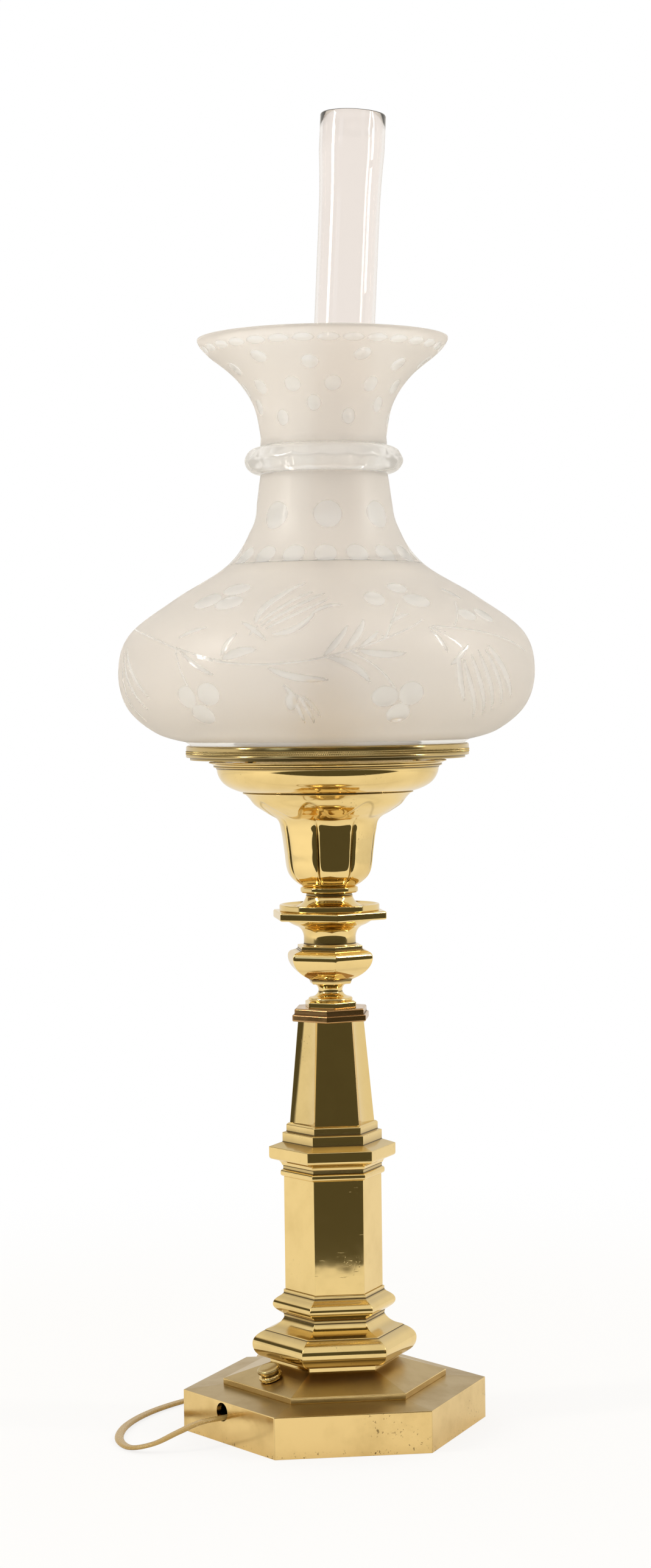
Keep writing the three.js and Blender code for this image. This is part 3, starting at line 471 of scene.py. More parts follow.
def build_wear():
    """Colour, roughness and height of worn metal from object coordinates and the mask of residue and painted
    shade.
    """
    inputs = [
        ("Bright", "NodeSocketColor", (0.9, 0.68, 0.3, 1)),
        ("Dull", "NodeSocketColor", (0.55, 0.36, 0.12, 1)),
        ("Shade, pit and residue colour", "NodeSocketColor", (0.06, 0.035, 0.012, 1)),
        ("Dullness", "NodeSocketFloat", 0.5),
        ("Polish", "NodeSocketFloat", 0.1),
        ("Pits", "NodeSocketFloat", 0.3),
        ("Crevice", "NodeSocketFloat", 0.0),
    ]
    outputs = [("Color", "NodeSocketColor"), ("Roughness", "NodeSocketFloat"), ("Height", "NodeSocketFloat")]
    group, start, end = new_group("worn_metal", inputs, outputs)
    place_in = node(group, "ShaderNodeTexCoord").outputs["Object"]
    cloud = remap(group, noise(group, place_in, 26, 6, 0.62), 0.42, 0.72)
    hairs = hair_lines(group, place_in, (90, 60, 900), (0.2, 0.5, 0.9))
    cross_hairs = hair_lines(group, place_in, (700, 50, 80), (0.9, 0.3, 0.4))
    scratch = remap(group, arithmetic(group, "MAXIMUM", hairs, cross_hairs), 0.66, 0.8)
    dot = remap(group, noise(group, place_in, 620, 2), 0.64, 0.72)
    where = remap(group, noise(group, place_in, 34, 2), 0.56, 0.72)
    up = node(group, "ShaderNodeSeparateXYZ", i0=place_in).outputs[2]
    where = arithmetic(group, "MAXIMUM", where, remap(group, up, 0.0005, 0.005, 1.6, 0))
    pit = arithmetic(group, "MULTIPLY", arithmetic(group, "MULTIPLY", dot, where), start.outputs["Pits"])
    dull = arithmetic(group, "MULTIPLY", cloud, start.outputs["Dullness"], True)
    # Pits darken for real; the mask adds polish residue and painted shade.
    pits_residue_and_shade = arithmetic(group, "MAXIMUM", pit, start.outputs["Crevice"])
    worn = blended(group, dull, start.outputs["Bright"], start.outputs["Dull"])
    colour = blended(group, pits_residue_and_shade, worn, start.outputs["Shade, pit and residue colour"])
    rough = arithmetic(group, "ADD", arithmetic(group, "MULTIPLY", dull, 0.16), start.outputs["Polish"])
    rough = arithmetic(group, "ADD", rough, arithmetic(group, "MULTIPLY", scratch, 0.06))
    rough = arithmetic(group, "ADD", rough, arithmetic(group, "MULTIPLY", pits_residue_and_shade, 0.35), True)
    height = arithmetic(group, "MULTIPLY", noise(group, place_in, 55, 2), 0.5)
    height = arithmetic(group, "SUBTRACT", height, arithmetic(group, "MULTIPLY", scratch, 0.04))
    height = arithmetic(group, "SUBTRACT", height, arithmetic(group, "MULTIPLY", pit, 0.3))
    fill(group, end, {"Color": colour, "Roughness": rough, "Height": height})
    return group


WEAR = build_wear()
print("wear group:", len(WEAR.nodes), "nodes")

# %% [markdown]
# The three brasses differ in their colours and in how much of each kind of age they take. Ripple is the
# depth of the bump, a tenth of a millimetre or so, which bends reflections as years of rubbing do.


# %% Brasses
def new_material(name):
    """A material with its node tree and its main shader."""
    material = bpy.data.materials.new(name)
    material.use_nodes = True
    tree = material.node_tree
    return material, tree, tree.nodes["Principled BSDF"]


def brass(name, bright, dull, dullness, polish, pits, ripple):
    """A worn brass; ripple is the depth of its unevenness in metres."""
    material, tree, shader = new_material(name)
    colours = {"Bright": (*bright, 1), "Dull": (*dull, 1)}
    # The mask read here holds polish residue and painted shade in corners and on upward faces.
    amounts = {"Dullness": dullness, "Polish": polish, "Pits": pits, "Crevice": stored(tree, "crevice")}
    wear = node(tree, "ShaderNodeGroup", {"node_tree": WEAR}, **colours, **amounts)
    bump = node(tree, "ShaderNodeBump", Height=wear.outputs["Height"], Distance=ripple, Strength=1.0)
    finish = {
        "Base Color": wear.outputs["Color"],
        "Roughness": wear.outputs["Roughness"],
        "Normal": bump.outputs["Normal"],
        "Metallic": 1.0,
    }
    fill(tree, shader, finish)
    return material


POLISHED = brass(
    "polished_brass",
    bright=(0.86, 0.665, 0.305),
    dull=(0.6, 0.43, 0.16),
    dullness=0.35,
    polish=0.06,
    pits=0.5,
    ripple=0.00012,
)
BASE_BRASS = brass(
    "base_brass",
    bright=(0.87, 0.655, 0.3),
    dull=(0.63, 0.45, 0.185),
    dullness=0.6,
    polish=0.12,
    pits=0.6,
    ripple=0.00015,
)
DARK_BRASS = brass(
    "dark_brass",
    bright=(0.5, 0.31, 0.14),
    dull=(0.3, 0.18, 0.08),
    dullness=0.7,
    polish=0.12,
    pits=0.6,
    ripple=0.0001,
)
print("brasses:", POLISHED.name, BASE_BRASS.name, DARK_BRASS.name)

# %% [markdown]
# ## The other materials
# Plated steel holds the lamp together out of sight, the flat cord and its plug are gold vinyl that lets
# a little light through, and the small inner parts are dark moulded plastic.

# %% Steel, vinyl and plastic
GRAIN_SCALE, GRAIN_DEPTH, GRAIN_SHADE, GRAIN_SWING = 400, 0.00003, 0.85, 0.2


def plain(name, colour, roughness, metallic=0.0):
    """One base colour with a fine grain in its shade, its roughness and its surface."""
    material, tree, shader = new_material(name)
    grain = noise(tree, node(tree, "ShaderNodeTexCoord").outputs["Object"], GRAIN_SCALE, 3)
    darker = [part * GRAIN_SHADE for part in colour]
    smoother, rougher = roughness * (1 - GRAIN_SWING), roughness * (1 + GRAIN_SWING)
    bump = node(tree, "ShaderNodeBump", Height=grain, Distance=GRAIN_DEPTH, Strength=1.0)
    finish = {
        "Base Color": blended(tree, grain, (*darker, 1), (*colour, 1)),
        "Roughness": remap(tree, grain, 0.3, 0.7, smoother, rougher),
        "Normal": bump.outputs["Normal"],
        "Metallic": metallic,
    }
    fill(tree, shader, finish)
    return material


STEEL = plain("plated_steel", (0.6, 0.6, 0.62), 0.32, metallic=1.0)
PLASTIC = plain("dark_plastic", (0.03, 0.026, 0.022), 0.5)
VINYL = plain("gold_vinyl", (0.62, 0.42, 0.14), 0.25)
VINYL.node_tree.nodes["Principled BSDF"].inputs["Transmission Weight"].default_value = 0.35
print("plain materials:", STEEL.name, PLASTIC.name, VINYL.name)

# %% [markdown]
# ## The cord
# A flat twin cord leaves the hole in the left side of the plinth. The picture shows its first few
# centimetres; the rest follows a route of listed points round the base to a neat coil behind it,
# where the lamp hides it. A coil's turns come from a formula: the radius shrinks by one pitch a turn,
# then grows again on the next layer, and the cord climbs in the half turn round each reversal.

# %% Cord path
CORD_WIDTH, CORD_THICKNESS = 5.2 * MM, 2.6 * MM
CORD_ROUTE = [
    (-52.9, -23.5, 14.6),
    (-59, -27, 14.6),
    (-70.9, -33.9, 14.6),
    (-84.6, -41.8, 14.4),
    (-98, -48.9, 11),
    (-112, -50.5, 5.5),
    (-125, -42, 1.8),
    (-130, -20, 1.6),
    (-124, 10, 1.6),
    (-108, 40, 1.6),
    (-84, 66, 1.6),
    (-56, 83, 1.6),
    (-32, 90.6, 1.8),
    (-12, 92, 2.3),
    (-3.5, 92, 2.3),
]
TAIL_ROUTE = [
    (7.5, 92, 11.6),
    (13.5, 91.9, 11.6),
    (21, 91.4, 11.3),
    (28, 90.8, 8.6),
    (35, 90.5, 5.9),
    (41.7, 90.5, 5.75),
]
COIL_CENTRE = np.array([2, 127, 2.3]) * MM
COIL_RADIUS, COIL_PITCH, COIL_LAYER = 35 * MM, 6.2 * MM, 3.1 * MM
COIL_TURNS_A_LAYER, COIL_LAYERS, CLIMB_TURNS = 2, 4, 0.5
COIL_STEPS, ROUTE_STEPS = 40, 8
CORD_SQUARENESS, CORD_GROOVE, CORD_GROOVE_WIDTH = 0.75, 0.28, 0.12


def coil_path(steps_a_turn):
    """Angle grows evenly; radius is a zigzag of the turn, and height a smooth step at each reversal."""
    turns = COIL_TURNS_A_LAYER * COIL_LAYERS
    turn = np.linspace(0, turns, turns * steps_a_turn + 1)
    wound = COIL_TURNS_A_LAYER - np.abs(turn % (2 * COIL_TURNS_A_LAYER) - COIL_TURNS_A_LAYER)
    radius = COIL_RADIUS - COIL_PITCH * wound
    reversals = COIL_TURNS_A_LAYER * np.arange(1, COIL_LAYERS)
    climb = np.clip((turn[:, None] - reversals + CLIMB_TURNS / 2) / CLIMB_TURNS, 0, 1)
    layer = np.sum(smooth_step(climb), axis=1)
    flat = radius[:, None] * heading(turn * 2 * math.pi)
    return COIL_CENTRE + np.column_stack([flat, layer * COIL_LAYER])


def flat_tube(name, path, width, thickness, sides=20):
    """A flat cord: at each path point, a squared circle in the plane of the level side and the upright,
    thinner in the middle by a share that falls off as e to the minus x squared."""
    run = np.gradient(path, axis=0)
    run /= np.linalg.norm(run, axis=1, keepdims=True)
    side = np.cross(run, [0, 0, 1])
    side /= np.linalg.norm(side, axis=1, keepdims=True)
    up = np.cross(side, run)
    angle = once_round(sides)
    across = squared(np.cos(angle), CORD_SQUARENESS) * width / 2
    groove = 1 - CORD_GROOVE * np.exp(-((across / (width * CORD_GROOVE_WIDTH)) ** 2))
    rise = np.sin(angle) * thickness / 2 * groove
    grid = path[:, None] + across[None, :, None] * side[:, None] + rise[None, :, None] * up[:, None]
    return surface(name, grid, capped=True)


cord_path = np.vstack(
    [
        through(np.array(CORD_ROUTE) * MM, ROUTE_STEPS),
        coil_path(COIL_STEPS),
        through(np.array(TAIL_ROUTE) * MM, ROUTE_STEPS),
    ]
)

# %% [markdown]
# ## The plug and the tie
# The plug's body is a row of rounded rectangles that grow from the cord to the shoulders, with three ribs
# for the fingers. Its blades are flat bars with a hole, and the tie is a band that hugs the coil's far
# side. All the plug's sizes are in millimetres along and about its own axis.

# %% Plug and tie
PLUG_AXIS = np.array([0, 90.5, 5.75]) * MM
PLUG_FROM, PLUG_TO = 42, 65
SWELL_FROM, SWELL_LENGTH = 42.5, 9.5
NECK_HALVES, SWELL_HALVES = (4.2, 3.4), (8.2, 2.3)
RIBS, RIB_HEIGHT, RIBS_FROM, RIBS_LENGTH = 3, 0.45, 53, 9
PLUG_FACE = [(65.6, 12.2, 5.5), (65.9, 11.9, 5.2), (66, 11.4, 4.8)]
BLADE = [(66.1, 0.75, 3.2), (81.4, 0.75, 3.2), (82.4, 0.6, 2.9), (83, 0.4, 2.4)]
BLADE_ASIDE, BLADE_HOLE_AT, BLADE_HOLE_RADIUS, BLADE_POWER = 6.35, 77.5, 1.5, 0.22
TIE_SIDES, TIE_POWER = 48, 0.5


def rounded_bar(name, stations, power=0.5, sides=40):
    """Sections across X: each station is (x, half width, half height) about the plug's axis, and a section
    is |cos|^power and |sin|^power with their signs, a rounded rectangle."""
    angle = once_round(sides)
    across, rise = squared(np.cos(angle), power), squared(np.sin(angle), power)
    x, wide, tall = (np.array(column)[:, None] * MM for column in zip(*stations))
    grid = np.stack(np.broadcast_arrays(x, wide * across, tall * rise), axis=-1)
    return surface(name, grid, capped=True)


def plug_piece():
    """Both half sizes grow by a smooth step, and the ribs are a squared sine taken off the height."""
    x = np.linspace(PLUG_FROM, PLUG_TO, 70)
    swell = smooth_step(np.clip((x - SWELL_FROM) / SWELL_LENGTH, 0, 1))
    ribs = RIB_HEIGHT * np.sin(np.clip((x - RIBS_FROM) / RIBS_LENGTH, 0, 1) * RIBS * math.pi) ** 2
    wide = NECK_HALVES[0] + SWELL_HALVES[0] * swell
    tall = NECK_HALVES[1] + SWELL_HALVES[1] * swell - ribs
    body = rounded_bar("plug_body_fine", list(zip(x, wide, tall)) + PLUG_FACE)
    body.data.transform(Matrix.Translation(PLUG_AXIS.tolist()))
    return place(body, "lamp", "gold_vinyl", VINYL, "plug_body")


def blade_piece(side):
    """A thin bar with a bevelled end, set beside the axis, with a hole drilled across it."""
    bar = rounded_bar("plug_blade_fine_" + str(side), BLADE, power=BLADE_POWER)
    bar.data.transform(Matrix.Translation((PLUG_AXIS + [0, side * BLADE_ASIDE * MM, 0]).tolist()))
    hole = PLUG_AXIS + np.array([BLADE_HOLE_AT, side * BLADE_ASIDE, 0]) * MM
    drilled(bar, hole - [0, 3 * MM, 0], hole + [0, 3 * MM, 0], BLADE_HOLE_RADIUS * MM)
    return place(bar, "lamp", "plated_steel", STEEL, "plug_blade_1" if side < 0 else "plug_blade_2")


def tie_piece():
    """A closed band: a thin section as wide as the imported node, carried round a rounded rectangle in the
    upright plane. Each row is (share of the half width, inset from the box in millimetres)."""
    angle = once_round(TIE_SIDES)
    y, z = (squared(wave, TIE_POWER) for wave in (np.cos(angle), np.sin(angle)))
    low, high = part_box("cord_tie")
    middle, half = (np.array(low) + high) / 2, (np.array(high) - low) / 2
    section = [(-1, 0.4), (-0.9, 0), (0.9, 0), (1, 0.4), (0.9, 0.6), (-0.9, 0.6)]
    rows = []
    for across, inset in section:
        y_row = middle[1] + (half[1] - inset * MM) * y
        z_row = middle[2] + (half[2] - inset * MM) * z
        rows.append(np.column_stack([np.full(TIE_SIDES, middle[0] + across * half[0]), y_row, z_row]))
    band = surface("cord_tie_fine", np.stack(rows), loop_rows=True)
    return place(band, "lamp", "dark_plastic", PLASTIC, "cord_tie")


plug, tie = plug_piece(), tie_piece()
blades = [blade_piece(-1), blade_piece(1)]
print("plug blades:", len(blades))

# %% [markdown]
# The cord replaces its three imported nodes.

# %% Cord piece
flat_cord = flat_tube("flat_cord", cord_path, CORD_WIDTH, CORD_THICKNESS)
place(flat_cord, "lamp", "gold_vinyl", VINYL, "cord", "cord_coil", "cord_tail")
print("cord:", len(flat_cord.data.polygons), "faces")

# %% [markdown]
# ## Base and column
# The base is mitred from the floor up: plinth, step, the moulded torus, the plain column and its capital.
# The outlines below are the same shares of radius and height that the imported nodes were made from.

# %% Base outlines
PEDESTAL = [
    (0.785, 0),
    (0.785, 0.067),
    (0.763, 0.067),
    (0.763, 0.081),
    (0.905, 0.088),
    (1, 0.15, 1, 0.266),
    (1, 0.373, 0.846, 0.444),
    (0.832, 0.458),
    (0.669, 0.493, 0.609, 0.62),
    (0.617, 0.664),
    (0.659, 0.697, 0.748, 0.736, 0.748, 0.799),
    (0.748, 0.863, 0.69, 0.891, 0.639, 0.924),
    (0.613, 0.949),
    (0.613, 1),
]
CAPITAL = [
    (0.776, 0),
    (0.828, 0.006, 0.823, 0.063),
    (0.828, 0.12, 0.781, 0.133),
    (0.781, 0.203),
    (0.797, 0.209),
    (0.818, 0.304, 0.908, 0.31),
    (0.95, 0.326),
    (1, 0.335, 1, 0.392),
    (1, 0.563),
    (0.786, 0.646),
    (0.786, 0.823),
    (0.723, 0.842),
    (0.723, 0.968),
    (0.691, 1),
]


def extent(name):
    """(radius, height, foot) of a node, from its box. A base hexagon has a corner along X, so its radius
    is that of its corners."""
    low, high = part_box(name)
    return high[0], high[2] - low[2], low[2]


BASE_MOULDINGS = {
    "base_torus": (PEDESTAL, 24 * MM),
    "column_capital": (CAPITAL, 17 * MM),
    "column_shaft": ([(1, 0), (1, 1)], 26.4 * MM),
}
for name, (shares, bore) in BASE_MOULDINGS.items():
    outline = bored(trace(shares, *extent(name)), bore)
    # Upward faces of each moulding take painted shade.
    piece = revolve(name + "_fine", outline, hex_ring, upward_shade=0.25, seams=0.25)
    place(piece, "lamp", "polished_brass", POLISHED, name)
print("base mouldings:", len(BASE_MOULDINGS))

# %% [markdown]
# The plinth and the step are shells. Their outer outline is drawn, and the inner one runs back down the
# other side of the wall. The plinth's hole is cut afterwards with an exact boolean.

# %% Plinth and step
plinth_radius, plinth_height, _ = extent("plinth")
step_radius, step_height, step_foot = extent("base_step")
pedestal_foot_radius = extent("base_torus")[0] * PEDESTAL[0][0]
SLOPE_DROP, PLINTH_WALL, FLANGE = 2.2 * MM, 3.2 * MM, 4.8 * MM
STEP_EDGE, STEP_WALL, STEP_WEB, ROD_BORE = 3.6 * MM, 2.5 * MM, 3 * MM, 6.2 * MM


def plinth_outline():
    """Up the outside, over the slope, back under the flange that carries the step, and down the inside.
    The slope's underside keeps the slope of its top."""
    inner = plinth_radius - PLINTH_WALL / HEX_FLAT
    under = plinth_height - PLINTH_WALL
    slope = SLOPE_DROP / (plinth_radius - step_radius)
    return np.array(
        [
            (plinth_radius, 0),
            (plinth_radius, plinth_height - SLOPE_DROP),
            (step_radius, plinth_height),
            (step_radius - FLANGE, plinth_height),
            (step_radius - FLANGE, under),
            (step_radius, under),
            (inner, under - (inner - step_radius) * slope),
            (inner, 0),
        ]
    )


def step_outline():
    """Up the edge and the slope, in to the rod's bore, and back under the web. The underside of the slope
    lies lower by the wall over the cosine of the lean."""
    inner = step_radius - STEP_WALL / HEX_FLAT
    edge_top = step_foot + STEP_EDGE
    top = step_foot + step_height
    slope = (step_height - STEP_EDGE) / (step_radius - pedestal_foot_radius)
    drop = STEP_WALL * math.hypot(1, slope / HEX_FLAT)
    web = top - STEP_WEB
    return np.array(
        [
            (step_radius, step_foot),
            (step_radius, edge_top),
            (pedestal_foot_radius, top),
            (ROD_BORE, top),
            (ROD_BORE, web),
            (step_radius - (web + drop - edge_top) / slope, web),
            (inner, edge_top + (step_radius - inner) * slope - drop),
            (inner, step_foot),
        ]
    )


LEFT_FACE = heading(math.radians(-60))
HOLE_CENTRE = np.array([-70.9, -33.9, 18]) * MM
HOLE_RADIUS = 5.4 * MM
DRILL_IN, DRILL_OUT = 8, 4
left = np.append(LEFT_FACE, 0)
# The plinth takes painted shade on its upward slope and dark seams at its mitres.
plinth = revolve("plinth_fine", plinth_outline(), hex_ring, upward_shade=0.5, seams=0.7)
drilled(plinth, HOLE_CENTRE - left * DRILL_IN * MM, HOLE_CENTRE + left * DRILL_OUT * MM, HOLE_RADIUS)
plinth.data.set_sharp_from_angle(angle=math.radians(32))
place(plinth, "lamp", "base_brass", BASE_BRASS, "plinth")
step = revolve("base_step_fine", step_outline(), hex_ring, upward_shade=0.45, seams=0.6)
place(step, "lamp", "base_brass", BASE_BRASS, "base_step")
print("plinth", round(2 * plinth_radius, 4), "m across its corners")

# %% [markdown]
# ## The switch
# A rotary switch stands on the left slope of the step. Its pieces are turned about their own axis and then
# set on the seat, whose normal leans with the slope. The ring nut has shallow scallops for the fingers, and
# the knob has faint ribs. Their outlines are (radius, height over the seat) in millimetres.

# %% Switch
SLOPE_ANGLE = math.atan2(step_height - STEP_EDGE, (step_radius - pedestal_foot_radius) * HEX_FLAT)
SEAT_NORMAL = np.append(LEFT_FACE * math.sin(SLOPE_ANGLE), math.cos(SLOPE_ANGLE))
SEAT_OUT, SEAT_UP = 46.97, 33.8
SEAT = np.append(LEFT_FACE * SEAT_OUT, SEAT_UP) * MM
NUT = [(4.3, 0.3), (6.2, 0.3), (6.9, 0.9), (7, 1.6), (6.9, 2.6), (6.5, 3.3), (5.6, 3.6), (4.3, 3.6)]
KNOB_FOOT = [(2.2, 6.5), (2.2, 3.9), (5.1, 3.9), (5.1, 4.5)]
KNOB_SIDE = [(6.1, 5), (6.65, 5.5), (6.75, 5.8), (6.75, 6.9), (6.6, 7.3)]
KNOB_TOP = [(6.2, 7.6), (5.6, 7.7), (4.9, 7.66), (4.2, 7.5), (0.6, 7.45)]
SCALLOPS = {"lobes": 14, "depth": 0.18 * MM, "least": 5.9 * MM}
KNOB_RIBS = {"lobes": 36, "depth": 0.05 * MM, "least": 6.4 * MM}
KNOB_TARNISH = 0.4


def seated(piece):
    """Moves a mesh made about the Z axis to the seat."""
    side = np.cross([0, 0, 1], SEAT_NORMAL)
    side /= np.linalg.norm(side)
    pose = np.eye(4)
    pose[:3, :3] = np.column_stack([side, np.cross(SEAT_NORMAL, side), SEAT_NORMAL])
    pose[:3, 3] = SEAT
    piece.data.transform(Matrix(pose.tolist()))
    return piece


nut = revolve("switch_nut_fine", np.array(NUT) * MM, scalloped_ring, **SCALLOPS)
place(seated(nut), "lamp", "polished_brass", POLISHED, "switch_nut")
knob_outline = np.array(KNOB_FOOT + KNOB_SIDE + KNOB_TOP) * MM
knob_grid = lifted(scalloped_ring(knob_outline[:, 0], **KNOB_RIBS), knob_outline[:, 1])
knob_tarnish = np.full(knob_grid.shape[:2], KNOB_TARNISH)
knob = surface("switch_knob_fine", knob_grid, capped=True, attributes={"crevice": knob_tarnish})
knob.data.set_sharp_from_angle(angle=math.radians(35))
place(seated(knob), "knob_body", "polished_brass", POLISHED, "switch_knob")
print("switch slope", round(math.degrees(SLOPE_ANGLE), 2), "degrees")

# %% [markdown]
# ## The tapered shaft
# Each of its six sides is a hollow flute between narrow flat arrises. Going round, the depth of a flute
# is a parabola of the share of the side's width, and going up, every size shrinks in proportion.

# %% Tapered shaft
FLUTE_DEPTH, ARRIS = 2.2 * MM, 1.1 * MM
TAPER_WALL, TAPER_TOP_RADIUS, TAPER_ROWS = 4.5 * MM, 19.8 * MM, 12


def fluted_ring(radius, height, steps=22):
    """Side points from corner to corner less half an arris, sunk by depth times 4 t (1 - t)."""
    t = np.linspace(0, 1, steps)
    corner = heading(np.radians(30 + 60 * np.arange(6))) * radius
    after = np.roll(corner, -1, axis=0)
    along = (after - corner) / radius
    inward = -(corner + after) / np.linalg.norm(corner + after, axis=1, keepdims=True)
    share = ARRIS / 2 / radius + t * (1 - ARRIS / radius)
    flat = corner[:, None] + along[:, None] * radius * share[None, :, None]
    sunk = flat + inward[:, None] * (FLUTE_DEPTH * 4 * t * (1 - t))[None, :, None]
    ring = sunk.reshape(-1, 2)
    return np.column_stack([ring, np.full(len(ring), height)])


def tapered_shaft():
    """Fluted rings up to the top, then circles of the bore back down, at the same angles."""
    foot_radius, height, foot = extent("tapered_shaft")
    outer, inner = [], []
    for share in np.linspace(0, 1, TAPER_ROWS):
        radius = foot_radius + (TAPER_TOP_RADIUS - foot_radius) * share
        ring = fluted_ring(radius, foot + height * share)
        bore = radius * HEX_FLAT - FLUTE_DEPTH - TAPER_WALL
        level = ring[:, :2] / np.linalg.norm(ring[:, :2], axis=1, keepdims=True) * bore
        outer.append(ring)
        inner.append(np.column_stack([level, ring[:, 2]]))
    return surface("tapered_shaft_fine", np.stack(outer + inner[::-1]), loop_rows=True)


shaft = tapered_shaft()
shaft.data.set_sharp_from_angle(angle=math.radians(22))
place(shaft, "lamp", "polished_brass", POLISHED, "tapered_shaft")
CAP = [(0.974, 0), (1, 0.066), (1, 0.487), (0.942, 0.553), (0.942, 0.908), (0.914, 1)]
CAP_RADIUS, CAP_TURN = 25.05 * MM, 17.7
_, cap_height, cap_foot = extent("taper_cap")
cap_outline = bored(trace(CAP, CAP_RADIUS, cap_height, cap_foot), ROD_BORE)
cap = revolve("taper_cap_fine", cap_outline, hex_ring, turn_degrees=CAP_TURN)
place(cap, "lamp", "dark_brass", DARK_BRASS, "taper_cap")
print("tapered shaft:", len(shaft.data.polygons), "quads")

# %% [markdown]
# ## The stem
# Hexagonal pieces alternate with round ones, and the hexagons are turned by thirty degrees against the
# base, so that a corner faces the front. Each entry gives the form, the radius in millimetres and the
# outline's shares.

# %% Stem
STEM = {
    "stem_foot": ("hexagon", 16.3, [(1, 0), (1, 0.775), (0.877, 1)]),
    "baluster_neck": (
        "round",
        13.3,
        [(0.962, 0), (1.015, 0.101, 0.932, 0.182), (0.617, 0.222, 0.534, 0.545), (0.504, 0.778, 0.707, 1)],
    ),
    "baluster_knop": (
        "hexagon",
        27.3,
        [
            (0.473, 0),
            (0.502, 0.096),
            (0.52, 0.123),
            (0.824, 0.263, 0.945, 0.482),
            (1, 0.588, 1, 0.684),
            (1.004, 0.816, 0.894, 0.851),
            (0.791, 0.886),
            (0.762, 0.912),
            (0.762, 1),
        ],
    ),
    "baluster_cavetto": (
        "round",
        26.2,
        [(0.611, 0), (0.588, 0.077), (0.588, 0.346), (0.611, 0.673, 0.782, 0.763), (0.916, 0.853, 1, 1)],
    ),
    "font_plate": ("hexagon", 36.3, [(0.981, 0), (1, 0.122), (1, 0.837), (0.981, 1)]),
    "font_saucer": (
        "round",
        29.6,
        [
            (0.986, 0),
            (1, 0.06),
            (1, 0.41),
            (0.983, 0.47),
            (0.953, 0.47),
            (0.861, 0.181, 0.726, 0.265),
            (0.591, 0.349, 0.493, 0.627, 0.47, 1),
        ],
    ),
    "font_collar": (
        "round",
        17,
        [
            (0.8, 0),
            (0.829, 0.066),
            (0.8, 0.131),
            (0.8, 0.328),
            (0.965, 0.393),
            (1, 0.525),
            (1, 0.852),
            (0.976, 0.934),
            (0.918, 1),
        ],
    ),
}
STEM_RINGS = {"hexagon": (hex_ring, {"turn_degrees": 30}), "round": (round_ring, {"sides": 96})}
for name, (form, radius, shares) in STEM.items():
    _, height, foot = extent(name)
    outline = bored(trace(shares, radius * MM, height, foot), ROD_BORE)
    ring, words = STEM_RINGS[form]
    place(revolve(name + "_fine", outline, ring, **words), "lamp", "polished_brass", POLISHED, name)
print(len(STEM), "stem pieces")

# %% [markdown]
# ## The font
# The cup has eight nearly flat panels with a narrow groove between each pair. The groove's depth grows
# from the foot, holds through the body and fades into the flare, so the radius is a function of both
# height and angle. An edge arches up over each groove, and below it the wall steps back a little. A knot
# is (share of the radius, share of the height, share of the groove's depth).

# %% Cup
CUP_KNOTS = [
    (0.314, 0, 0),
    (0.399, 0.047, 0.3),
    (0.477, 0.116, 0.8),
    (0.517, 0.209, 1),
    (0.542, 0.391, 1),
    (0.574, 0.591, 0.9),
    (0.623, 0.716, 0.25),
    (0.745, 0.796, 0),
    (0.876, 0.875, 0),
    (0.949, 0.953, 0),
    (1, 1, 0),
]
CUP_STEPS, LINING_START = 13, 16
CUP_GROOVE, CUP_WALL, LOBES, LOBE_STEPS, LOBE_TURN = 2.6 * MM, 1.6 * MM, 8, 48, math.radians(1)
PANEL_MIDDLE, PANEL_SPREAD, GROOVE_POWER = 0.975, math.radians(19), 12
ARCH_RISE, ARCH_FOOT, ARCH_SINK, ARCH_FADE = 0.17, 0.77, 0.7 * MM, 0.035
BODY_END, BODY_FADE = 0.6, 0.16
# Sizes of the painted shade under the arched edge and in the grooves.
ARCH_SHADE, EDGE_DROP, EDGE_WIDTH = 0.7, 0.018, 0.01
GROOVE_FROM, CUP_SHADE = 0.9, 0.5


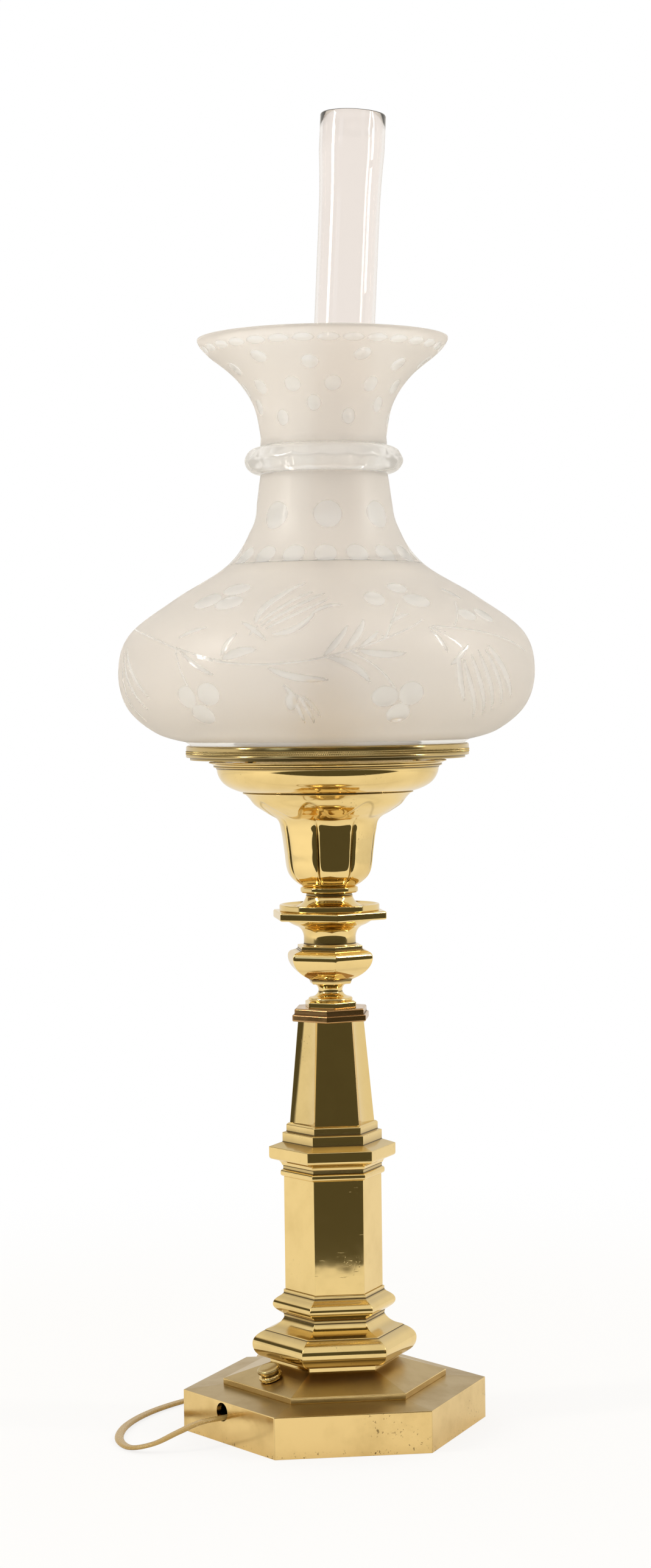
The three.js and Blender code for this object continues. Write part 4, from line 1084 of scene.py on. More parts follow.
def lobed_cup():
    """Radius = smooth outline times 1 / cos of the angle across the lobe, which makes a nearly flat panel,
    less the groove, whose depth goes with a high power of the distance across from the lobe's middle.
    Under the arched edge, which peaks over each groove, the wall steps back and then runs out to nothing."""
    radius, height, foot = extent("font_cup")
    knots = through(CUP_KNOTS, CUP_STEPS)
    even = 2 * np.arange(LOBE_STEPS) / LOBE_STEPS - 1
    across = 0.5 * even + 0.5 * np.sin(even * math.pi / 2)
    lobe = np.arange(LOBES)[:, None]
    angle = ((lobe + across / 2) * 2 * math.pi / LOBES + LOBE_TURN).ravel()
    near_groove = np.tile(np.abs(across), LOBES)[None]
    depth = near_groove**GROOVE_POWER
    panel = PANEL_MIDDLE / np.cos(PANEL_SPREAD * near_groove)
    level = knots[:, 1, None]
    share = np.maximum(knots[:, 2:], 0)
    arch = ARCH_FOOT + ARCH_RISE * (0.5 - 0.5 * np.cos(math.pi * near_groove)) ** 1.5
    over_body = np.clip((level - BODY_END) / BODY_FADE, 0, 1)
    under = smooth_step(np.clip((arch - level) / ARCH_FADE, 0, 1) * over_body)
    outer = knots[:, :1] * radius * (1 + share * (panel - 1))
    outer = outer - CUP_GROOVE * share * depth - ARCH_SINK * under
    lining = knots[LINING_START::2]
    inner = lining[:, :1] * radius - CUP_GROOVE - ARCH_SINK - CUP_WALL
    inner = np.broadcast_to(inner, (len(lining), len(angle)))
    bore = np.full((2, len(angle)), ROD_BORE)
    radii = np.vstack([outer, inner[::-1], bore])
    levels = np.concatenate([knots[:, 1], lining[::-1, 1], [lining[0, 1], 0]]) * height + foot
    grid = lifted(radii[..., None] * heading(angle)[None], levels)
    # Painted shade: a band just under the arched edge, and the floor of each groove.
    edge_shade = ARCH_SHADE * np.exp(-(((arch - level - EDGE_DROP) / EDGE_WIDTH) ** 2)) * over_body
    groove = np.clip((near_groove - GROOVE_FROM) / (1 - GROOVE_FROM), 0, 1) * share
    crevice = np.zeros(radii.shape)
    crevice[: len(knots)] = CUP_SHADE * np.maximum(edge_shade, groove)
    piece = surface("font_cup_fine", grid, loop_rows=True, attributes={"crevice": crevice})
    piece.data.set_sharp_from_angle(angle=math.radians(35))
    return piece


place(lobed_cup(), "lamp", "polished_brass", POLISHED, "font_cup")
print("cup:", LOBES, "panels")

# %% [markdown]
# The bowl above the cup is plainly turned. Its inside keeps one wall's distance from the belly.

# %% Bowl
BOWL = [
    (0.706, 0),
    (0.72, 0.021),
    (0.714, 0.052),
    (0.861, 0.186, 0.905, 0.454),
    (0.93, 0.598, 0.933, 0.742),
    (0.939, 0.804),
    (0.963, 0.835),
    (0.959, 0.866),
    (0.962, 0.923, 0.999, 0.959),
    (1, 0.979),
    (0.99, 1),
]


def bowl_outline():
    """Up the outside, in by one wall at the mouth, and back down along the belly's normals."""
    radius, height, foot = extent("font_bowl")
    outside = trace(BOWL, radius, height, foot)
    belly = trace(BOWL[2:6], radius, height, foot, steps=4)
    inside = belly - outward(belly) * CUP_WALL
    mouth = [(outside[-1, 0] - CUP_WALL, outside[-1, 1])]
    throat = [(extent("font_cup")[0] - CUP_WALL, foot)]
    return np.vstack([outside, mouth, inside[::-1], throat])


# Its upward faces take a faint painted shade.
bowl = revolve("font_bowl_fine", bowl_outline(), round_ring, upward_shade=0.1, sides=160)
place(bowl, "lamp", "polished_brass", POLISHED, "font_bowl")
print("bowl:", len(bowl.data.polygons), "quads")

# %% [markdown]
# ## The shade's outline
# The shade is blown glass, ground to a frost outside, with its ornament cut through the frost and polished
# clear. Its outline is a smooth curve through a few knots, with a bead between body and flare. A fine
# mitre line runs round where the body ends, so the shade is made as two shells that meet there: each can
# then have the dense grid that the cutting needs.

# %% Shade outline
SHADE_BODY = [
    (0.646, 0.01),
    (0.818, 0.036),
    (0.958, 0.099),
    (1, 0.189),
    (0.942, 0.28),
    (0.72, 0.366),
    (0.47, 0.447),
    (0.352, 0.539),
    (0.309, 0.656),
]
SHADE_FLARE = [(0.301, 0.759), (0.334, 0.838), (0.421, 0.906), (0.556, 0.964), (0.597, 0.99), (0.601, 1)]
BEAD_FOOT, BEAD_TOP, BEAD_BULGE = 0.669, 0.735, 9.3 * MM
SHADE_WALL, MITRE_LINE, MITRE_GAP, SHADE_STEPS = 3 * MM, 510.3 * MM, 0.04 * MM, 60
shade_radius, shade_height, shade_foot = extent("shade")
body_curve, flare_curve = (
    through(knots, SHADE_STEPS) * [shade_radius, shade_height] + [0, shade_foot]
    for knots in (SHADE_BODY, SHADE_FLARE)
)
foot_point = [[body_curve[0, 0], shade_foot]]


def along(points):
    """Arc length from the first point to each point."""
    return np.concatenate([[0], np.cumsum(np.linalg.norm(np.diff(points, axis=0), axis=1))])


def resampled(points, count):
    """The same line with evenly spaced points."""
    length = along(points)
    even = np.linspace(0, length[-1], count)
    return np.column_stack([np.interp(even, length, points[:, k]) for k in range(points.shape[1])])


def upto(points, level):
    """The part of a climbing line below a level, ending on it."""
    end = [[np.interp(level, points[:, 1], points[:, 0]), level]]
    return np.vstack([points[points[:, 1] < level], end])


def above(points, level):
    """The part of a climbing line above a level, starting on it."""
    start = [[np.interp(level, points[:, 1], points[:, 0]), level]]
    return np.vstack([start, points[points[:, 1] > level]])


print("shade", round(2 * shade_radius, 4), "m wide")

# %% [markdown]
# ## The cut ornament
# A cut is a stroke or an oval. A stroke is a bent line with a start, a control point and an end, each
# given as degrees round the shade and millimetres up. A leaf is a stroke with a half width, which swells
# and ends in points, as a wheel leaves it. A berry is an oval: its place, its half width and its half
# height. The pattern fills half the round and comes twice.

# %% Cut shapes
STEMS = [
    (-43.2, 455, -24, 447, -8.2, 454),
    (-8.2, 454, 4.8, 460, 21.2, 474.5),
    (-51.5, 461, -43.2, 456, -35.8, 453),
    (-91.8, 474, -65.5, 470.5, -51, 460),
    (-51.2, 458, -48.5, 445, -45.8, 436),
    (-0.8, 456.5, 6.8, 450, 11.8, 433),
    (16.5, 483.5, 11.2, 474, 8.8, 465),
    (42.2, 485.5, 37.5, 479.5, 32.5, 472.5),
    (24, 471, 45.2, 469.5, 62.2, 458),
    (23, 470, 27.8, 466, 32, 458),
]
LEAVES = [
    (-50.3, 460, -44, 450, -37.5, 444.5, 1.4),
    (-51.8, 466.5, -48.5, 470.5, -42.8, 472, 1.6),
    (-35.8, 455.5, -34.8, 464, -32.2, 468.5, 1.7),
    (-35.5, 454, -31.8, 458, -26, 459, 2.8),
    (-22.8, 449, -16.5, 441.5, -6.8, 442, 2.1),
    (-8.2, 454.5, -4.5, 461.5, -1.2, 472, 1.9),
    (-2.5, 458.5, 1, 464.5, 3.5, 475, 2.1),
    (1, 459, 4.2, 463, 7, 468.5, 1.4),
    (0.8, 458, 7, 454, 13.8, 456, 2.1),
    (-7, 454, 0, 451.5, 4, 440, 2.2),
    (10.8, 472.5, 14.8, 477.5, 18.2, 478, 1.6),
    (22.2, 469.5, 24.5, 464.5, 26.5, 456, 1.4),
    (43.8, 493.5, 47, 492, 48.5, 487.5, 2.4),
    (27, 449.5, 30, 453, 34, 461, 1.6),
    (30.2, 456, 28.5, 443.5, 33, 429, 2.1),
    (41, 461, 46.8, 449.5, 54.2, 430.5, 2.2),
    (31.5, 453, 32.8, 438, 40.8, 419, 1.7),
    (34.2, 456, 36.5, 440, 43.8, 421, 1.7),
    (37, 458, 40.2, 441.5, 47, 423, 1.7),
    (39.8, 458.5, 44, 444.5, 50.5, 426.5, 1.7),
    (-80.2, 463, -73, 447.5, -64.2, 432, 1.7),
    (-82, 460.5, -76.5, 441, -68, 425.5, 1.7),
    (-81.5, 454.5, -82.5, 432.5, -76.8, 418.5, 1.7),
    (-32.2, 474.5, -29.2, 473, -23, 463.5, 1.6),
    (-28.5, 467, -27.8, 469.5, -26.8, 472, 1),
    (-27.5, 473.5, -30.2, 487, -15, 497, 2.6),
    (-26.8, 473, -21.2, 486.5, -11.5, 491.5, 1.6),
    (-25.8, 471.5, -18.5, 483.5, -7.3, 490.5, 1.6),
    (-24.5, 470, -16.2, 479.5, -5.8, 487.5, 1.6),
    (-22, 467.5, -15.2, 467.5, -10.8, 479, 2.2),
    (-11.8, 478, -7.8, 484.5, -1.8, 483.5, 1.7),
    (-18.8, 440, -17.2, 435.5, -15.2, 431, 1.2),
    (-16.8, 433.5, -14.8, 426.5, -13.8, 417.5, 1.2),
    (-15.5, 434.5, -12.2, 426.5, -11, 417, 1.2),
    (-14, 433.5, -10.8, 428, -9.2, 421, 1.2),
]
BERRIES = [
    (8.2, 432, 7.8, 6.3),
    (15.5, 433.5, 7.6, 7),
    (12.8, 422.5, 6.9, 7),
    (-48, 433, 6.6, 6.9),
    (-40.5, 434.5, 7.6, 6.9),
    (-44.5, 423, 7.6, 7),
    (-53, 487.5, 9.5, 7.8),
    (-42, 486, 9.2, 7),
    (-44.2, 494, 9.2, 6.4),
    (9.5, 487, 6.3, 7.4),
    (21.2, 493.5, 6.3, 5.3),
    (25, 486, 8.6, 7),
    (40.8, 478, 7, 5.6),
    (49.5, 478, 6.7, 6.6),
    (-17, 429.5, 3, 5.3),
]
print(len(STEMS), "stems,", len(LEAVES), "leaves and", len(BERRIES), "berries")

# %% [markdown]
# For each grid point the least signed distance to any cut is stored, negative inside, and the material
# turns clear where it passes zero, which keeps an edge crisp between points. Stems are thinner than the
# grid, so for them the signed offset from the middle line is stored, since that changes evenly across the
# line. The points also sink by the depth of the cut, so that the grooves are real.

# %% Cuts on a grid
LEAF_SLOPE, OVAL_DEPTH = 0.26, 0.6 * MM
STROKE_POINTS, ROUND_MARGIN, RISE_MARGIN = 25, 6, 5 * MM
FAR, STEM_REACH = 9, 2.5


class Cuts:
    """The signed distance to the nearest cut and the depth of the cut, on a grid of rows and columns."""

    def __init__(self, outline, columns):
        self.outline = outline
        self.arc = along(outline)
        self.degrees = np.arange(columns) * 360 / columns - 180
        shape = (len(outline), columns)
        self.distance = np.full(shape, FAR * MM)
        self.depth = np.zeros(shape)
        self.offset = np.full(shape, FAR * MM)

    def arc_at(self, height):
        """Arc length along the outline at a height."""
        return np.interp(height, self.outline[:, 1], self.arc)

    def folded(self, first, period):
        """Degrees from the nearest repeat of a place that comes again after each period."""
        return (self.degrees - first + period / 2) % period - period / 2

    def oval(self, first, height, half_wide, half_tall, period):
        """q = root of (x / a)^2 + (y / b)^2 is 1 on the edge; the depth falls off as 1 - q^2."""
        across = np.radians(self.folded(first, period))[None] * self.outline[:, :1]
        rise = (self.arc - self.arc_at(height * MM))[:, None]
        q = np.hypot(across / (half_wide * MM), rise / (half_tall * MM))
        self.distance = np.minimum(self.distance, (q - 1) * min(half_wide, half_tall) * MM)
        self.depth = np.maximum(self.depth, OVAL_DEPTH * np.clip(1 - q**2, 0, 1))

    def stroke(self, points, period):
        """For each grid point near the stroke: the signed distance from its line, square to the tangent
        at the closest of its points, and that point's share of the way."""
        a0, h0, a1, h1, a2, h2 = points
        t = np.linspace(0, 1, STROKE_POINTS)
        angle = a0 * (1 - t) ** 2 + 2 * a1 * t * (1 - t) + a2 * t**2
        height = h0 * (1 - t) ** 2 + 2 * h1 * t * (1 - t) + h2 * t**2
        arc = self.arc_at(height * MM)
        middle = (angle.min() + angle.max()) / 2
        columns = np.abs(self.folded(middle, period)) < (angle.max() - angle.min()) / 2 + ROUND_MARGIN
        rows = (self.arc > arc.min() - RISE_MARGIN) & (self.arc < arc.max() + RISE_MARGIN)
        radius = self.outline[rows, :1, None]
        local = self.folded(middle, period)[columns] + middle
        dx = np.radians(local[None, :, None] - angle) * radius
        dy = np.broadcast_to(self.arc[rows][:, None, None] - arc, dx.shape)
        nearest = np.argmin(dx**2 + dy**2, axis=2)
        dx, dy = (np.take_along_axis(d, nearest[..., None], 2)[..., 0] for d in (dx, dy))
        run = np.gradient(np.radians(angle))[nearest] * radius[..., 0]
        climb = np.gradient(arc)[nearest]
        run, climb = run / np.hypot(run, climb), climb / np.hypot(run, climb)
        offset = dx * climb - dy * run
        past = dx * run + dy * climb
        past_end = np.where(nearest == STROKE_POINTS - 1, np.maximum(past, 0), 0)
        past = np.where(nearest == 0, np.minimum(past, 0), past_end)
        signed = np.where(offset < 0, -1, 1) * np.hypot(offset, past)
        return np.ix_(rows, columns), signed, t[nearest]

    def leaf(self, points, half, period):
        """Half width = half times the root of sin(pi t); the groove is a V."""
        where, signed, t = self.stroke(points, period)
        distance = np.abs(signed)
        width = half * MM * np.sqrt(np.sin(np.pi * np.clip(t, 0.01, 0.99)))
        self.distance[where] = np.minimum(self.distance[where], distance - width)
        self.depth[where] = np.maximum(self.depth[where], LEAF_SLOPE * np.clip(width - distance, 0, 1))

    def stem(self, points, period):
        """Keeps the signed offset that is nearest to a stem's middle line."""
        where, signed, _ = self.stroke(points, period)
        held = self.offset[where]
        self.offset[where] = np.where(np.abs(signed) < np.abs(held), signed, held)

    def shell(self, name, inner):
        """Sinks the outline by the depth along its normals, and closes it with the inner outline. The
        stored distances are in millimetres, and the whole inside counts as smooth."""
        normal = outward(self.outline)
        radius = self.outline[:, :1] - self.depth * normal[:, :1]
        height = self.outline[:, 1:] - self.depth * normal[:, 1:]
        ring = heading(np.radians(self.degrees))
        grid = np.concatenate([radius[..., None] * ring[None], height[..., None]], axis=-1)
        back = inner[::-1, 0, None, None] * ring[None]
        grid = np.vstack([grid, lifted(back, inner[::-1, 1])])
        smooth = np.full((len(inner), len(ring)), -1.0)
        far = np.full(smooth.shape, float(FAR))
        millimetres = self.offset * 1000
        attributes = {
            "cut_distance": np.vstack([self.distance * 1000, smooth]),
            "stem_offset": np.vstack([np.clip(millimetres, -FAR, FAR), far]),
            "stem_near": np.vstack([np.clip(STEM_REACH - np.abs(millimetres), 0, 1), far * 0]),
        }
        return surface(name, grid, loop_rows=True, attributes=attributes)


print("a leaf's groove is", LEAF_SLOPE, "as deep as its half width")

# %% [markdown]
# The body's grid is dense, because each groove needs points on both its slopes. Its last row, on the
# mitre line, is marked as cut, which draws the line.

# %% Shade body
BODY_ROWS, BODY_COLUMNS, LINING_ROWS, HALF_TURN = 121, 700, 13, 180
ON_LINE = -0.5 * MM
body_outline = np.vstack([foot_point, resampled(upto(body_curve, MITRE_LINE), BODY_ROWS)])
body_cuts = Cuts(body_outline, BODY_COLUMNS)
for points in STEMS:
    body_cuts.stem(points, HALF_TURN)
for *points, half in LEAVES:
    body_cuts.leaf(points, half, HALF_TURN)
for berry in BERRIES:
    body_cuts.oval(*berry, HALF_TURN)
body_cuts.distance[-1] = ON_LINE
body_inside = resampled(upto(body_curve, MITRE_LINE), LINING_ROWS)
body_inside -= outward(body_inside) * SHADE_WALL
body_inside[[0, -1], 1] = body_outline[[0, -1], 1]
shade_body = body_cuts.shell("shade_body_cut", body_inside)
print("shade body:", len(shade_body.data.polygons), "quads")

# %% [markdown]
# ## Neck, bead and flare
# Above the line the cuts are regular: a row of half ovals on the line, eight large ones round the neck,
# three staggered rows on the flare and small scallops under the rim. The bead is ground into flat facets:
# each facet is a plane at a set distance from the bead's middle, and the glass ends at the nearest one.

# %% Shade neck
NECK_OVALS = [
    (-7, 514.5, 6.8, 7, 20),
    (-4.8, 537.8, 8.4, 8.4, 45),
    (-15, 602, 4.2, 4.8, 60),
    (-15, 624, 5.2, 5.2, 60),
    (-45, 594.5, 4.2, 4.8, 60),
    (-45, 628, 5.2, 5.2, 60),
    (0, 612.7, 5, 5, 30),
    (-4.5, 636, 6.6, 3, 12),
]
NECK_ROWS, BEAD_ROWS, FLARE_ROWS, NECK_COLUMNS = 56, 31, 60, 480
BEAD_RING, FACET_INSET, FACET_TILT, FACET_DEGREES = 0.305, 0.7 * MM, 26, 20
BEAD_CLEAR = -1 * MM


def faceted_bead(angle, tilt):
    """For two staggered rows of facets: a plane at distance D from the middle, met at D + R (1 - cos of
    the angle round) times cos of the tilt, over the cosine of the angles between; the least one wins."""
    half = FACET_DEGREES / 2
    kept = np.full((len(tilt), len(angle)), BEAD_BULGE)
    for row_tilt, shift in ((FACET_TILT, 0), (-FACET_TILT, half)):
        local = np.radians((angle - shift + half) % FACET_DEGREES - half)[None]
        away = tilt[:, None] - math.radians(row_tilt)
        drop = shade_radius * BEAD_RING * (1 - np.cos(local)) * math.cos(math.radians(row_tilt))
        met = (BEAD_BULGE - FACET_INSET + drop) / np.maximum(np.cos(away) * np.cos(local), 0.3)
        kept = np.minimum(kept, met)
    return kept


def shade_neck():
    """Outline: the neck, a half circle stretched to the bead's height, and the flare."""
    stem_part = resampled(above(body_curve, MITRE_LINE + MITRE_GAP), NECK_ROWS)
    tilt = np.linspace(-math.pi / 2, math.pi / 2, BEAD_ROWS)
    middle = shade_foot + shade_height * (BEAD_FOOT + BEAD_TOP) / 2
    half = shade_height * (BEAD_TOP - BEAD_FOOT) / 2
    seat = (stem_part[-1, 0] + flare_curve[0, 0]) / 2
    bead = np.column_stack([seat + BEAD_BULGE * np.cos(tilt), middle + half * np.sin(tilt)])
    outline = np.vstack([stem_part, bead, resampled(flare_curve, FLARE_ROWS)])
    cuts = Cuts(outline, NECK_COLUMNS)
    for oval in NECK_OVALS:
        cuts.oval(*oval)
    rows = slice(len(stem_part), len(stem_part) + len(bead))
    cuts.depth[rows] = BEAD_BULGE - faceted_bead(cuts.degrees, tilt)
    cuts.distance[rows] = BEAD_CLEAR
    cuts.distance[0] = ON_LINE
    inner = np.vstack([stem_part[:-1:4], resampled(flare_curve, 16)])
    inner -= outward(inner) * SHADE_WALL
    inner[[0, -1], 1] = outline[[0, -1], 1]
    return cuts.shell("shade_neck_cut", inner)


shade_neck_cut = shade_neck()
print("shade neck:", len(shade_neck_cut.data.polygons), "quads")

# %% [markdown]
# ## Glass
# The chimney is clear glass. The shade's material reads the stored distances. In a cut, on a stem and on
# the inside it is smooth and a little paler, and elsewhere it is rough, which scatters light as a ground
# surface does. Along the edges of cuts and stems the colour is painted darker, a painted shade where a
# wheel has left a slope. Only two thirds of the shade's light passes through; the rest comes back from the
# frost.

# %% Glass materials
GLASS_IOR, SHADE_CLEARNESS, CUT_ROUGHNESS = 1.47, 0.66, 0.03
FROST_TINT, CUT_TINT, EDGE_SHADE_TINT = (1, 0.943, 0.872, 1), (0.995, 0.975, 0.94, 1), (0.72, 0.66, 0.58, 1)
CHIMNEY_TINT, CHIMNEY_ROUGHNESS = (0.935, 0.9, 0.875, 1), 0.02
CUT_EDGE, STEM_EDGE, EDGE_SHADE = -0.15, -0.35, 0.45


def clear_glass():
    """Smooth glass with a faint warm tint."""
    material, tree, shader = new_material("clear_glass")
    words = {"Base Color": CHIMNEY_TINT, "Roughness": CHIMNEY_ROUGHNESS}
    fill(tree, shader, {**words, "Transmission Weight": 1.0, "IOR": GLASS_IOR})
    return material


def away_from(tree, value, line):
    """|value - line|, in millimetres for the stored distances."""
    return arithmetic(tree, "ABSOLUTE", arithmetic(tree, "SUBTRACT", value, line), 0.0)


def frosted_glass():
    """Clear where the signed distance is below zero or the offset is small, and rough elsewhere. Its colour
    is painted darker along the edges of cuts and stems, as painted shade.
    """
    material, tree, shader = new_material("frosted_glass")
    cut, offset, near = (stored(tree, name) for name in ("cut_distance", "stem_offset", "stem_near"))
    on_stem = arithmetic(tree, "MULTIPLY", remap(tree, away_from(tree, offset, 0), 0.65, 0.4), near)
    clear = arithmetic(tree, "MAXIMUM", remap(tree, cut, 0.12, -0.08), on_stem, True)
    place_in = node(tree, "ShaderNodeTexCoord").outputs["Object"]
    frost = remap(tree, noise(tree, place_in, 18, 4), 0.3, 0.7, 0.42, 0.5)
    rough = node(tree, "ShaderNodeMix", {"data_type": "FLOAT"}, i0=clear, i2=frost, i3=CUT_ROUGHNESS)
    # Painted shade along the edges of cuts and stems.
    edge_shade = remap(tree, away_from(tree, cut, CUT_EDGE), 0.05, 0.4, EDGE_SHADE, 0)
    stem_edge_shade = remap(tree, away_from(tree, offset, STEM_EDGE), 0.05, 0.35, EDGE_SHADE, 0)
    shadow = arithmetic(tree, "MAXIMUM", edge_shade, arithmetic(tree, "MULTIPLY", stem_edge_shade, near), True)
    tint = blended(tree, shadow, blended(tree, clear, FROST_TINT, CUT_TINT), EDGE_SHADE_TINT)
    words = {"Base Color": tint, "Roughness": rough.outputs[0]}
    fill(tree, shader, {**words, "Transmission Weight": SHADE_CLEARNESS, "IOR": GLASS_IOR})
    return material


FROST, CLEAR = frosted_glass(), clear_glass()
place(shade_body, "shade_body", "frosted_glass", FROST, "shade")
place(shade_neck_cut, "shade_body", "frosted_glass", FROST)
print("glasses:", FROST.name, CLEAR.name)

# %% [markdown]
# ## The chimney
# A plain drawn tube that widens slightly near its top. It leans in its gallery, so the tube is worked
# out upright and then turned about the middle of the gallery.

# %% Chimney
CHIMNEY_LEAN, CHIMNEY_TOWARDS = np.radians([3.05, -7.33])
CHIMNEY_RADIUS, CHIMNEY_WALL, CHIMNEY_LENGTH = 17.9 * MM, 1.8 * MM, 368.5 * MM
CHIMNEY_FLARE, FLARE_LENGTH, RIM_LENGTH = 1.4 * MM, 38 * MM, 22 * MM
GALLERY_FLOOR, PIVOT = 1.3 * MM, 404 * MM
RIM_EDGE, RIM_OUTSIDE, RIM_INSIDE = 0.8 * MM, 0.5 * MM, 1 * MM


def chimney_tube():
    """Outline turned about its axis; the point p then becomes p cos + (k x p) sin + k (k . p)(1 - cos)
    about the level axis k that lies square to the lean."""
    foot = GALLERY_FLOOR / math.cos(CHIMNEY_LEAN) + CHIMNEY_RADIUS * math.tan(CHIMNEY_LEAN)
    top = foot + CHIMNEY_LENGTH
    rim = [top - RIM_LENGTH / 2, top - RIM_EDGE, top]
    height = np.concatenate([np.linspace(foot, top - RIM_LENGTH, 48), rim])
    share = np.clip((height - top + RIM_LENGTH + FLARE_LENGTH) / FLARE_LENGTH, 0, 1)
    radius = CHIMNEY_RADIUS + CHIMNEY_FLARE * share**2
    radius[-1] -= RIM_OUTSIDE
    inner = np.column_stack([radius - CHIMNEY_WALL, height])[::-1]
    inner[0, 0] += RIM_INSIDE
    outline = np.vstack([np.column_stack([radius, height]), inner])
    point = lifted(round_ring(outline[:, 0], 96), outline[:, 1])
    axis = np.array([-math.sin(CHIMNEY_TOWARDS), math.cos(CHIMNEY_TOWARDS), 0])
    turned = point * math.cos(CHIMNEY_LEAN) + np.cross(axis, point) * math.sin(CHIMNEY_LEAN)
    turned += axis * (point @ axis)[..., None] * (1 - math.cos(CHIMNEY_LEAN))
    return surface("chimney_tube", turned + [0, 0, PIVOT], loop_rows=True)


place(chimney_tube(), "chimney_body", "clear_glass", CLEAR, "chimney")
print("chimney", round(CHIMNEY_LENGTH, 4), "m long")

# %% [markdown]
# ## The shade ring
# The ring's flange is milled: two rows of fine beads run round its edge, the lower shifted by half a bead.
# They are real bumps, a squared sine of the angle, because light catches each one. In the outline, which
# is (radius, height) in millimetres, a word stands where a row of beads goes.

# %% Shade ring
BEAD_ROOT, STEP_LEVELS = 83.4, (397.5, 397.6)
# Where the beads meet the band and at the steps, the ring is darkened as painted shade.
ROOT_SHADE, BEAD_TARNISH, RING_TARNISH = 0.8, 0.25, 0.3
RING_OUTLINE = [
    (81.3, 396.0),
    (81.3, 397.5),
    (83.2, 397.6),
    (83.6, 397.9),
    (83.6, 398.1),
    (83.6, 398.9),
    (BEAD_ROOT, 399.2),
    "shifted beads",
    (BEAD_ROOT, 400.4),
    "beads",
    (BEAD_ROOT, 401.6),
    (83.5, 401.75),
    (83.5, 401.95),
    (83.45, 403.7),
    (83.3, 404.1),
    (82.9, 404.4),
    (82.3, 404.6),
    (80.8, 404.5),
    (80.8, 403.0),
    (74.5, 403.0),
    (74.5, 400.6),
    (79.8, 400.6),
    (79.8, 396.0),
]
RING_BEADS, BEAD_RISE = 512, 0.42 * MM


def milled_ring():
    """Radius plus rise times sin^2 of the bead angle times 1 - u^2, where u runs from -1 to 1 up a row."""
    columns = RING_BEADS * 4
    angle = once_round(columns)
    radii, levels, crevice = [], [], []
    for number, entry in enumerate(RING_OUTLINE):
        if isinstance(entry, tuple):
            radii.append(np.full(columns, entry[0] * MM))
            levels.append(entry[1] * MM)
            # Corners of the outline take painted shade.
            in_corner = entry[0] == BEAD_ROOT or entry[1] in STEP_LEVELS
            crevice.append(ROOT_SHADE if in_corner else RING_TARNISH)
            continue
        low, high = RING_OUTLINE[number - 1][1], RING_OUTLINE[number + 1][1]
        phase = math.pi / 2 if entry == "shifted beads" else 0
        bead = np.sin(angle * RING_BEADS / 2 + phase) ** 2
        for u in (-0.75, -0.4, 0, 0.4, 0.75):
            radii.append(BEAD_ROOT * MM + BEAD_RISE * bead * (1 - u**2))
            levels.append(((low + high) / 2 + u * (high - low) / 2) * MM)
            crevice.append(BEAD_TARNISH)
    grid = lifted(np.array(radii)[..., None] * heading(angle)[None], np.array(levels))
    marks = np.repeat(np.array(crevice)[:, None], columns, axis=1)
    piece = surface("shade_ring_fine", grid, loop_rows=True, attributes={"crevice": marks})
    piece.data.set_sharp_from_angle(angle=math.radians(40))
    return piece


place(milled_ring(), "lamp", "polished_brass", POLISHED, "shade_ring")
print("ring:", RING_BEADS, "beads in a row")

# %% [markdown]
# ## Burner, socket and bulb
# These turned parts show once the shade is lifted. Each outline is a closed loop of (radius, height) in
# millimetres.

# %% Burner and socket
INNER_PARTS = {
    "burner_body": [
        (6.2, 398),
        (22, 398),
        (22, 400.4),
        (21.4, 400.8),
        (21.4, 401.2),
        (22, 401.6),
        (22, 404),
        (6.2, 404),
    ],
    "font_cover": [
        (69, 394.9),
        (66, 395.1),
        (61, 395.9),
        (58.7, 397.6),
        (28, 398),
        (6.2, 398),
        (6.2, 396.8),
        (28, 396.8),
        (57.3, 396.5),
        (58.5, 394.9),
    ],
    "socket_cap": [(5.1, 408.5), (12, 408.5), (12, 414.5), (11, 414.5), (11, 411), (5.1, 411)],
    "socket_shell": [(11, 414.5), (12, 414.5), (12, 438), (11, 438)],
    "socket_insulator": [(2.4, 411), (10.7, 411), (10.7, 436), (6.7, 436), (6.7, 418), (2.4, 418)],
}
INNER_SLOTS = {"socket_insulator": ("dark_plastic", PLASTIC)}
for name, outline in INNER_PARTS.items():
    piece = revolve(name + "_fine", np.array(outline) * MM, round_ring, sides=96)
    slot, material = INNER_SLOTS.get(name, ("polished_brass", POLISHED))
    place(piece, "lamp", slot, material, name)
print("turned inner parts:", len(INNER_PARTS))

# %% [markdown]
# The gallery has eight prongs: between two of them its rim drops to the floor of the slot. At one side of a
# slot two columns stand a hair apart, which keeps that side of the prong upright. The other side leans by
# the width of one column.

# %% Gallery
GALLERY_WALL, GALLERY_TOP, SLOT_FOOT, SLOT_HALF, PRONGS = (19.4, 20.2), 418, 409, 2, 8
SLOT_COLUMNS, PRONG_COLUMNS, HAIR = 5, 14, 1e-4


